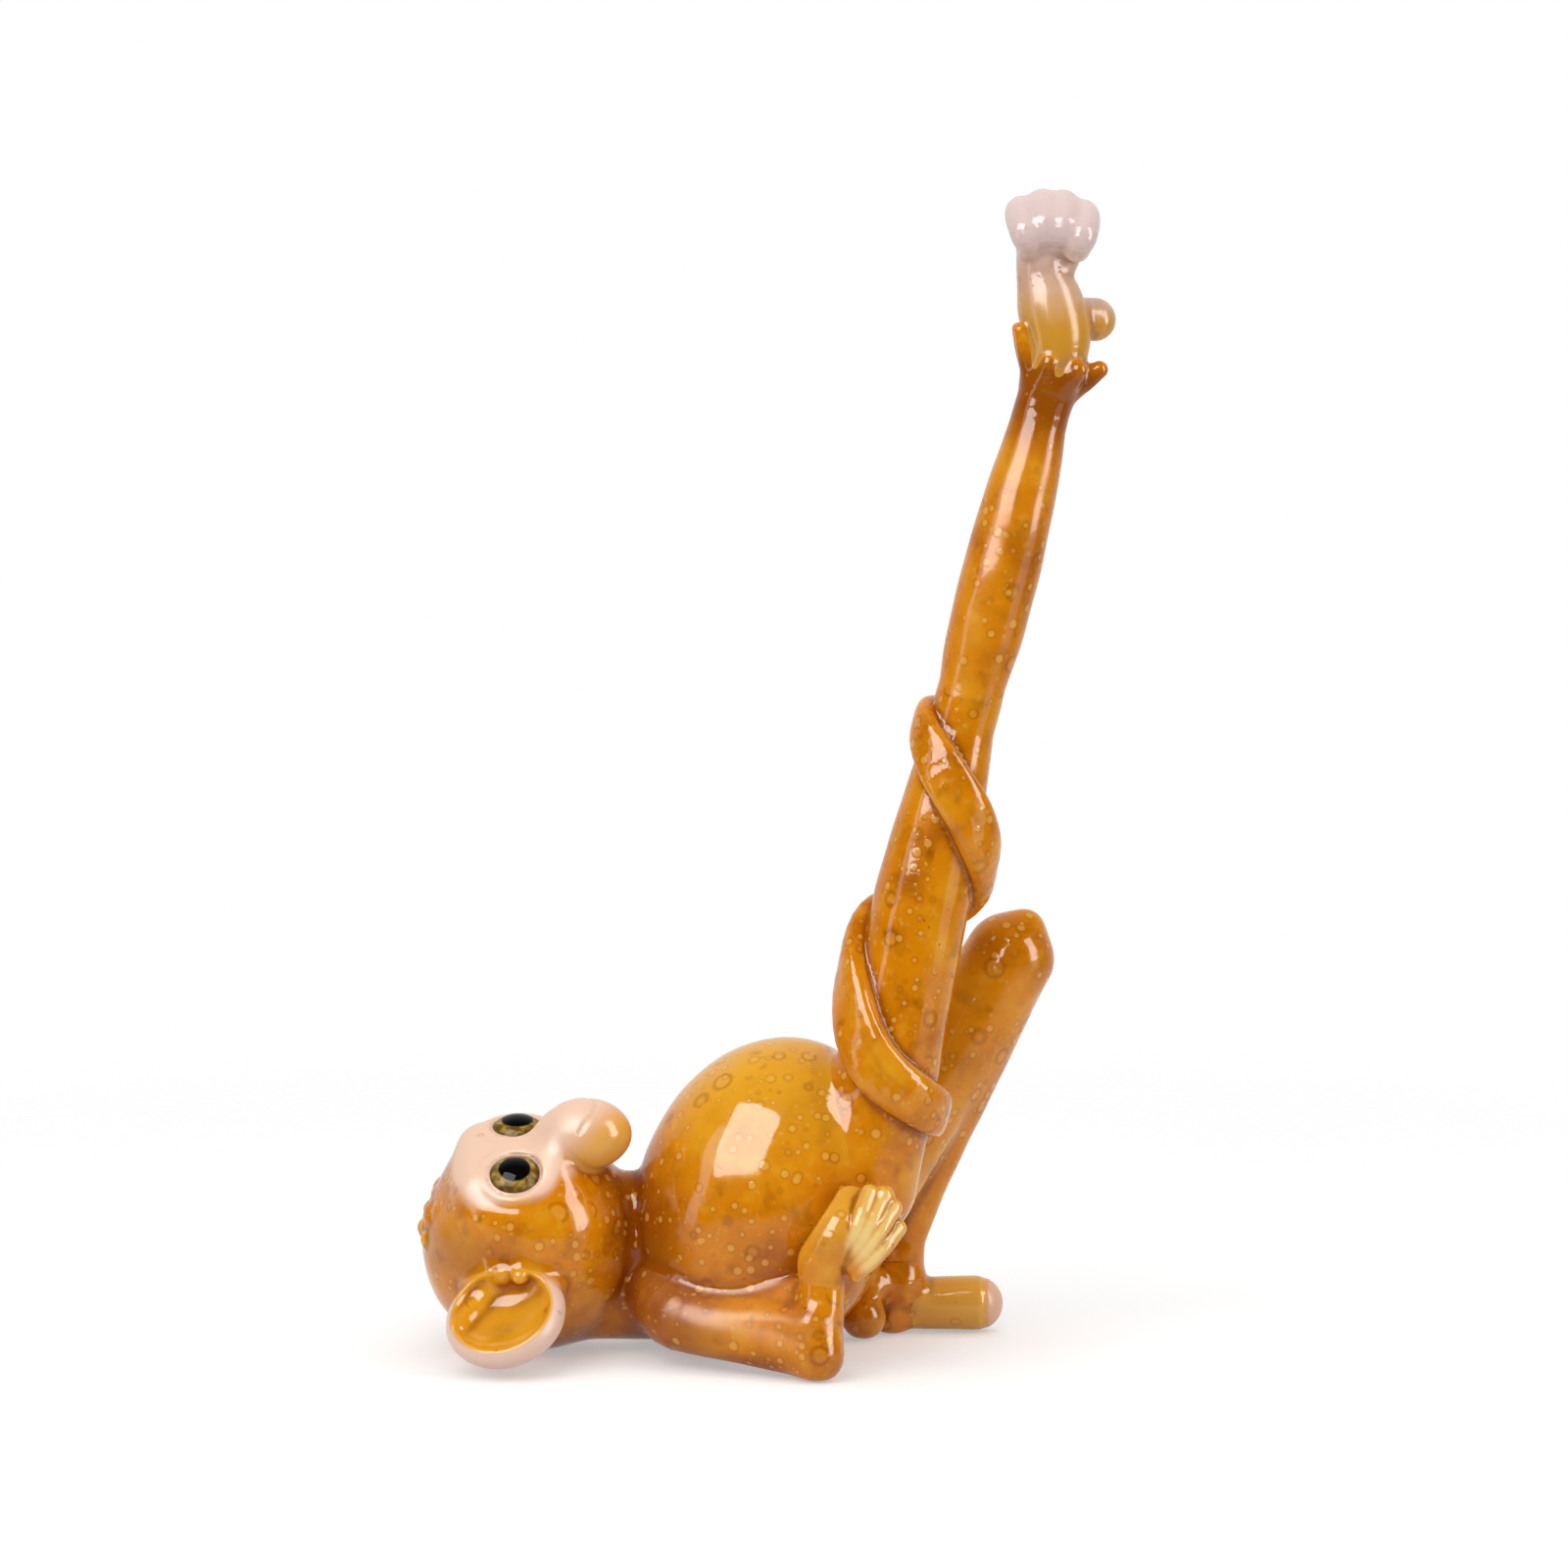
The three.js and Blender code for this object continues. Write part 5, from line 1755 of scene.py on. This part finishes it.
@dataclass(frozen=True)
class BubbleSize:
    """Bubbles of one size: spacing and radius in millimetres, how many there are and how pale and dark."""

    spacing: float
    radius: float
    share: float
    pale: float
    dark: float


BUBBLE_SIZES = (
    BubbleSize(spacing=7.0, radius=2.0, share=0.6, pale=0.22, dark=0.36),
    BubbleSize(spacing=3.8, radius=1.15, share=0.95, pale=0.55, dark=0.22),
    BubbleSize(spacing=2.0, radius=0.55, share=0.5, pale=0.30, dark=0.0),
)


@dataclass(frozen=True)
class BubbleShape:
    """How bubbles gather in drifts, vary in size and fade, in shares of their radius."""

    drift_scale: float = 0.05
    drift_range: tuple = (0.33, 0.56)
    smallest: float = 0.6
    variety: float = 0.7
    core: tuple = (1.0, 0.5)
    ring_start: tuple = (0.62, 0.95)
    ring_end: tuple = (1.35, 1.0)
    ring_depth: float = 0.6


class Wiring:
    """Short hand for building a node tree."""

    def __init__(self, tree: bpy.types.NodeTree) -> None:
        """Keeps the tree."""
        self.tree = tree

    def node(self, kind: str, **settings: object) -> bpy.types.Node:
        """New node with some of its settings.

        Args:
            kind: The node's type.
            settings: Values of its properties.

        Returns:
            The node.
        """
        made = self.tree.nodes.new(kind)
        for name, value in settings.items():
            setattr(made, name, value)
        return made

    def feed(self, socket: Socket, value: object) -> None:
        """Links an output to a socket, or sets the socket's value."""
        if isinstance(value, Socket):
            self.tree.links.new(value, socket)
        else:
            socket.default_value = value

    def math(self, operation: str, *values: object) -> Socket:
        """Result of a sum on numbers."""
        made = self.node("ShaderNodeMath", operation=operation)
        for socket, value in zip(made.inputs, values):
            self.feed(socket, value)
        return made.outputs[0]

    def times(self, first: object, second: object) -> Socket:
        """Product of two numbers."""
        return self.math("MULTIPLY", first, second)

    def step(self, value: object, low: float, high: float) -> Socket:
        """Smooth step of a number from 0 at low to 1 at high."""
        made = self.node("ShaderNodeMapRange", interpolation_type="SMOOTHSTEP")
        for name, item in (("Value", value), ("From Min", low), ("From Max", high)):
            self.feed(made.inputs[name], item)
        return made.outputs[0]

    def mix(self, share: object, first: object, second: object) -> Socket:
        """Colour between two colours."""
        made = self.node("ShaderNodeMix", data_type="RGBA")
        self.feed(made.inputs[0], share)
        self.feed(made.inputs[6], first)
        self.feed(made.inputs[7], second)
        return made.outputs[2]

    def noise(self, place: object, scale: float, detail: float) -> Socket:
        """Cloudy noise between 0 and 1."""
        made = self.node("ShaderNodeTexNoise", noise_dimensions="3D")
        self.feed(made.inputs["Vector"], place)
        made.inputs["Scale"].default_value = scale
        made.inputs["Detail"].default_value = detail
        return made.outputs["Fac"]

    def mask(self, name: str) -> Socket:
        """Number kept at the mesh's corners."""
        return self.node("ShaderNodeAttribute", attribute_name=name).outputs["Fac"]

    def place(self) -> Socket:
        """Place on the object in millimetres."""
        scaled = self.node("ShaderNodeVectorMath", operation="SCALE")
        self.feed(scaled.inputs[0], self.node("ShaderNodeTexCoord").outputs["Object"])
        scaled.inputs["Scale"].default_value = 1 / MM
        return scaled.outputs[0]


def group(name: str, takes: dict[str, str], gives: dict[str, str]) -> tuple[Wiring, dict, dict]:
    """New shader group with named sockets.

    Args:
        name: The group's name.
        takes: Names and types of its inputs.
        gives: Names and types of its outputs.

    Returns:
        Its wiring, its inputs to read from and its outputs to feed.
    """
    tree = bpy.data.node_groups.new(name, "ShaderNodeTree")
    for socket, kind in takes.items():
        tree.interface.new_socket(socket, in_out="INPUT", socket_type=kind)
    for socket, kind in gives.items():
        tree.interface.new_socket(socket, in_out="OUTPUT", socket_type=kind)
    wiring = Wiring(tree)
    start = wiring.node("NodeGroupInput")
    end = wiring.node("NodeGroupOutput")
    return wiring, {name: start.outputs[name] for name in takes}, {name: end.inputs[name] for name in gives}


def bubble_group(shape: BubbleShape) -> bpy.types.NodeTree:
    """Bubbles under the glaze: pale rounds with a soft dark edge, in drifts.

    Args:
        shape: How they gather, vary and fade.

    Returns:
        The group.
    """
    number, vector = "NodeSocketFloat", "NodeSocketVector"
    takes = {"Place": vector, "Spacing": number, "Share": number, "Radius": number}
    gives = {"Core": number, "Ring": number, "Height": number}
    wiring, start, end = group("glaze_bubbles", takes, gives)
    cells = wiring.node("ShaderNodeTexVoronoi", voronoi_dimensions="3D", feature="F1")
    wiring.feed(cells.inputs["Vector"], start["Place"])
    wiring.feed(cells.inputs["Scale"], wiring.math("DIVIDE", 1.0, start["Spacing"]))
    away = wiring.times(cells.outputs["Distance"], start["Spacing"])
    luck = wiring.node("ShaderNodeSeparateColor")
    wiring.feed(luck.inputs[0], cells.outputs["Color"])
    drift = wiring.noise(start["Place"], shape.drift_scale, 1.0)
    chance = wiring.times(start["Share"], wiring.step(drift, *shape.drift_range))
    kept = wiring.math("LESS_THAN", luck.outputs[0], chance)
    size = wiring.math("ADD", shape.smallest, wiring.times(luck.outputs[1], shape.variety))
    share = wiring.math("DIVIDE", away, wiring.times(start["Radius"], size))
    core = wiring.times(wiring.step(share, *shape.core), kept)
    band = wiring.times(wiring.step(share, *shape.ring_start), wiring.step(share, *shape.ring_end))
    ring = wiring.times(band, kept)
    wiring.feed(end["Core"], core)
    wiring.feed(end["Ring"], ring)
    wiring.feed(end["Height"], wiring.math("SUBTRACT", core, wiring.times(ring, shape.ring_depth)))
    return wiring.tree


def tone_group() -> bpy.types.NodeTree:
    """Colour of a glaze that is mottled, pools in creases, runs thin over edges and is brushed with others.

    Returns:
        The group, which also puts out where no bubbles come through and where the glaze has less shine.
    """
    number, colour, vector = "NodeSocketFloat", "NodeSocketColor", "NodeSocketVector"
    takes = {"Place": vector, **{tone: colour for tone in TONES}}
    wiring, start, end = group("glaze_tone", takes, {"Color": colour, "Cover": number, "Satin": number})
    now = start["Base"]
    for mottle in MOTTLES:
        cloud = wiring.noise(start["Place"], mottle.scale, mottle.detail)
        for tone, between, share in mottle.tones:
            here = wiring.times(wiring.step(cloud, *between), share)
            now = wiring.mix(here, now, start[tone])
    brushed = {tone: wiring.mask(tone.lower()) for tone in BRUSHED}
    for tone, here in brushed.items():
        now = wiring.mix(here, now, start[tone])
    cover = wiring.math("MAXIMUM", brushed["Blush"], brushed["Pale"])
    cover = wiring.math("MAXIMUM", cover, wiring.mask("plain"))
    for mask, tone, full, covered in EDGE_TONES:
        bare = wiring.math("SUBTRACT", full, wiring.times(cover, covered))
        now = wiring.mix(wiring.times(wiring.mask(mask), bare), now, start[tone])
    wiring.feed(end["Color"], now)
    wiring.feed(end["Cover"], cover)
    wiring.feed(end["Satin"], wiring.math("MAXIMUM", brushed["Blush"], wiring.mask("satin")))
    return wiring.tree


@dataclass
class Kiln:
    """Makes the figurine's materials from shared groups."""

    refraction: float = 1.5
    gloss: float = 0.32
    bubble_cover: float = 0.92
    bubble_height: float = 0.08
    peel_scale: float = 0.22
    peel_height: float = 0.4
    relief: float = 0.35
    relief_depth: float = 0.4
    haze: float = 0.05
    haze_scale: float = 0.09
    haze_range: tuple = (0.4, 0.7)
    satin: float = 0.3

    def __post_init__(self) -> None:
        """Builds the shared groups once."""
        self.bubbles = bubble_group(BubbleShape())
        self.tone = tone_group()

    def material(self, name: str) -> tuple[bpy.types.Material, Wiring, bpy.types.Node]:
        """Empty glossy material.

        Args:
            name: The material's name.

        Returns:
            The material, its wiring and its shader.
        """
        made = bpy.data.materials.new(name)
        made.use_nodes = True
        wiring = Wiring(made.node_tree)
        shader = made.node_tree.nodes["Principled BSDF"]
        shader.inputs["IOR"].default_value = self.refraction
        shader.inputs["Specular IOR Level"].default_value = self.gloss
        return made, wiring, shader

    def use(self, wiring: Wiring, tree: bpy.types.NodeTree, **values: object) -> bpy.types.Node:
        """Places a shared group in a material with its own values."""
        made = wiring.node("ShaderNodeGroup")
        made.node_tree = tree
        for name, value in values.items():
            wiring.feed(made.inputs[name], value)
        return made

    def glazed(self, finish: Finish) -> bpy.types.Material:
        """Glaze of one slot, with its pooling, bubbles and orange peel.

        Args:
            finish: The slot.

        Returns:
            The material.
        """
        glaze = GLAZES[finish]
        made, wiring, shader = self.material("fired_" + finish.value)
        place = wiring.place()
        tones = {tone: getattr(glaze, tone.lower()) for tone in TONES}
        tone = self.use(wiring, self.tone, Place=place, **tones)
        covered = wiring.times(tone.outputs["Cover"], self.bubble_cover)
        bare = wiring.math("SUBTRACT", 1.0, covered)
        colour = tone.outputs["Color"]
        height = wiring.times(wiring.noise(place, self.peel_scale, 2.0), self.peel_height)
        for size in BUBBLE_SIZES:
            chance = wiring.times(bare, size.share * glaze.bubbles)
            values = {"Place": place, "Spacing": size.spacing, "Radius": size.radius, "Share": chance}
            spots = self.use(wiring, self.bubbles, **values).outputs
            colour = wiring.mix(wiring.times(spots["Core"], size.pale), colour, glaze.thin)
            colour = wiring.mix(wiring.times(spots["Ring"], size.dark), colour, glaze.deep)
            height = wiring.math("ADD", height, wiring.times(spots["Height"], self.bubble_height))
        wiring.feed(shader.inputs["Base Color"], colour)
        bump = wiring.node("ShaderNodeBump")
        bump.inputs["Strength"].default_value = self.relief
        bump.inputs["Distance"].default_value = self.relief_depth * MM
        wiring.feed(bump.inputs["Height"], height)
        wiring.feed(shader.inputs["Normal"], bump.outputs["Normal"])
        cloud = wiring.step(wiring.noise(place, self.haze_scale, 2.0), *self.haze_range)
        haze = wiring.times(cloud, self.haze)
        satin = wiring.times(tone.outputs["Satin"], self.satin)
        rough = wiring.math("ADD", glaze.roughness, wiring.math("ADD", haze, satin))
        wiring.feed(shader.inputs["Roughness"], rough)
        return made

    def eye(self, name: str, head: Head, side: Side) -> bpy.types.Material:
        """Olive eye with a large black pupil and a dark outline.

        Args:
            name: The material's name.
            head: The head that carries the eye.
            side: The eye's side.

        Returns:
            The material.
        """
        glaze = EyeGlaze()
        made, wiring, shader = self.material(name)
        place = wiring.place()

        def away(point: Array) -> Socket:
            """Distance from a point in millimetres."""
            gap = wiring.node("ShaderNodeVectorMath", operation="DISTANCE")
            wiring.feed(gap.inputs[0], place)
            gap.inputs[1].default_value = tuple(point)
            return gap.outputs["Value"]

        front = head.eye_middle(side) + head.eye_seat(side)[1][:, 2] * head.eye_diameter / 2
        grain = wiring.step(wiring.noise(place, glaze.grain_scale, 3.0), *glaze.grain_range)
        olive = wiring.mix(grain, glaze.dark, glaze.light)
        rim = wiring.step(away(front), *glaze.outline_range)
        olive = wiring.mix(wiring.times(rim, glaze.outline_share), olive, glaze.outline)
        edge, soft = head.pupil_diameter / 2, glaze.pupil_edge
        black = wiring.step(away(head.pupil(side)), edge + soft, edge - soft)
        wiring.feed(shader.inputs["Base Color"], wiring.mix(black, olive, glaze.pupil))
        shader.inputs["Specular IOR Level"].default_value = glaze.gloss
        dull = wiring.times(rim, glaze.outline_roughness)
        wiring.feed(shader.inputs["Roughness"], wiring.math("ADD", glaze.roughness, dull))
        return made


# Studio


@dataclass(frozen=True)
class SoftBox:
    """Lamp box: its direction from the figurine, its distance and size in metres, and its brightness.

    The glow is how bright it is as a light, with 1 as white, and the glint how bright it is in reflections.
    """

    name: str
    aim: tuple
    reach: float
    size: tuple
    glow: float
    glint: float


SOFT_BOXES = (
    SoftBox("key_box", (-0.42, -0.66, 0.62), reach=1.1, size=(0.86, 0.90), glow=2.2, glint=14.0),
    SoftBox("right_box", (0.85, -0.36, 0.36), reach=1.1, size=(0.38, 0.95), glow=1.5, glint=11.0),
    SoftBox("right_panel", (0.93, -0.40, 0.05), reach=1.2, size=(0.60, 1.0), glow=0.9, glint=1.6),
    SoftBox("left_strip", (-0.89, -0.46, 0.20), reach=1.2, size=(0.24, 1.2), glow=1.1, glint=3.5),
    SoftBox("top_box", (0.1, 0.15, 0.98), reach=1.3, size=(1.2, 1.2), glow=1.3, glint=0.0),
)


@dataclass
class Studio:
    """Pale floor, soft boxes and the camera at the photograph's angle."""

    target: tuple = (9.0, 0.0, 146.0)
    elevation: float = 6.0
    distance: float = 1600.0
    lens: float = 144.0
    sensor: float = 36.0
    lamp_target: tuple = (0.0, 0.0, 0.1)
    glint_ahead: float = 0.03
    room_light: tuple = srgb(174, 174, 174)
    mirrored_front: tuple = srgb(40, 40, 40)
    mirrored_back: tuple = srgb(240, 240, 240)
    mirrored_range: tuple = (-0.05, 0.75)
    floor_colour: tuple = srgb(224, 224, 224)
    floor_roughness: float = 0.9
    floor_radius: float = 0.55
    floor_fade: float = 0.25
    floor_glow: float = 0.36
    floor_drop: float = 0.0002
    floor_sides: int = 64

    def camera(self) -> None:
        """Makes the camera and sets it as the scene's."""
        data = bpy.data.cameras.new("photo_camera")
        data.lens = self.lens
        data.sensor_width = self.sensor
        camera = bpy.data.objects.new("photo_camera", data)
        bpy.context.scene.collection.objects.link(camera)
        lift = math.radians(self.elevation)
        back = Vector((0.0, -math.cos(lift), math.sin(lift)))
        camera.location = (Vector(self.target) + back * self.distance) * MM
        camera.rotation_euler = (-back).to_track_quat("-Z", "Y").to_euler()
        bpy.context.scene.camera = camera

    def light(self, box: SoftBox) -> None:
        """Pair of area lamps that face the figurine: one for a box's light and one for its reflection.

        Args:
            box: The box. A lamp that would be dark is left out.
        """
        direction = Vector(box.aim).normalized()
        for use, level, ahead in (("light", box.glow, 0.0), ("glint", box.glint, self.glint_ahead)):
            if not level:
                continue
            data = bpy.data.lights.new(f"{box.name}_{use}", "AREA")
            data.shape = "RECTANGLE"
            data.size, data.size_y = box.size
            data.energy = level * math.pi * data.size * data.size_y
            lamp = bpy.data.objects.new(f"{box.name}_{use}", data)
            bpy.context.scene.collection.objects.link(lamp)
            lamp.location = Vector(self.lamp_target) + direction * (box.reach - ahead)
            lamp.rotation_euler = direction.to_track_quat("Z", "Y").to_euler()
            lamp.visible_glossy = use == "glint"
            lamp.visible_diffuse = use == "light"

    def world(self) -> None:
        """White to the camera, an even grey room to the light, and dark in front to the reflections."""
        world = bpy.data.worlds.new("white_room")
        bpy.context.scene.world = world
        world.use_nodes = True
        wiring = Wiring(world.node_tree)
        background = world.node_tree.nodes["Background"]
        path = wiring.node("ShaderNodeLightPath").outputs
        direction = wiring.node("ShaderNodeSeparateXYZ")
        wiring.feed(direction.inputs[0], wiring.node("ShaderNodeTexCoord").outputs["Generated"])
        behind = wiring.step(direction.outputs["Y"], *self.mirrored_range)
        mirrored = wiring.mix(behind, self.mirrored_front, self.mirrored_back)
        room = wiring.mix(path["Is Glossy Ray"], self.room_light, mirrored)
        wiring.feed(background.inputs["Color"], wiring.mix(path["Is Camera Ray"], room, WHITE))
        background.inputs["Strength"].default_value = 1.0

    def floor(self) -> None:
        """Round white floor that fades into the background."""
        mesh = bpy.data.meshes.new("floor")
        angles = [2 * math.pi * index / self.floor_sides for index in range(self.floor_sides)]
        radius = self.floor_radius
        ring = [(radius * math.cos(angle), radius * math.sin(angle), 0.0) for angle in angles]
        mesh.from_pydata(ring, [], [tuple(range(self.floor_sides))])
        floor = bpy.data.objects.new("floor", mesh)
        floor.location = (0.0, 0.0, -self.floor_drop)
        bpy.context.scene.collection.objects.link(floor)
        material = bpy.data.materials.new("white_floor")
        material.use_nodes = True
        wiring = Wiring(material.node_tree)
        shader = material.node_tree.nodes["Principled BSDF"]
        shader.inputs["Base Color"].default_value = self.floor_colour
        shader.inputs["Roughness"].default_value = self.floor_roughness
        shader.inputs["Specular IOR Level"].default_value = 0.0
        shader.inputs["Emission Color"].default_value = WHITE
        path = wiring.node("ShaderNodeLightPath").outputs
        seen = wiring.math("MAXIMUM", path["Is Camera Ray"], path["Is Glossy Ray"])
        wiring.feed(shader.inputs["Emission Strength"], wiring.times(seen, self.floor_glow))
        length = wiring.node("ShaderNodeVectorMath", operation="LENGTH")
        wiring.feed(length.inputs[0], wiring.node("ShaderNodeTexCoord").outputs["Object"])
        faded = wiring.step(length.outputs["Value"], self.floor_fade, self.floor_radius)
        wiring.feed(shader.inputs["Alpha"], wiring.math("SUBTRACT", 1.0, faded))
        mesh.materials.append(material)

    def build(self) -> None:
        """Sets up the whole studio."""
        self.camera()
        for box in SOFT_BOXES:
            self.light(box)
        self.world()
        self.floor()
        bpy.context.scene.view_settings.view_transform = "Standard"


# Assembly


def main() -> None:
    """Builds the figurine round its frame and sets it in the studio."""
    logging.basicConfig(level=logging.INFO, format="%(name)s %(message)s")
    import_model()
    Studio().build()

    torso, head, raised, bent = Torso(), Head(), RaisedLeg(), BentLeg()
    arms = [Arm(side) for side in Side]
    for part in (head, raised, bent, *arms):
        part.place(torso)
    pieces = torso.pieces(head.neck_end)
    pieces += [*head.pieces(), *raised.pieces(), *bent.pieces(), raised.tail_piece()]
    for arm in arms:
        pieces += arm.pieces()

    kiln = Kiln()
    materials = {finish: kiln.glazed(finish) for finish in GLAZES}
    eyes = {f"{side.word}_eye": kiln.eye(f"{side.word}_eye_glaze", head, side) for side in Side}

    clay = Clay(pieces)
    with ThreadPoolExecutor(WORKERS) as workers:
        skins = list(workers.map(clay.sculpt, range(len(pieces))))
    for piece, skin in zip(pieces, skins):
        shown(piece, skin, eyes.get(piece.node) or materials[piece.finish])


if __name__ == "__main__":
    main()
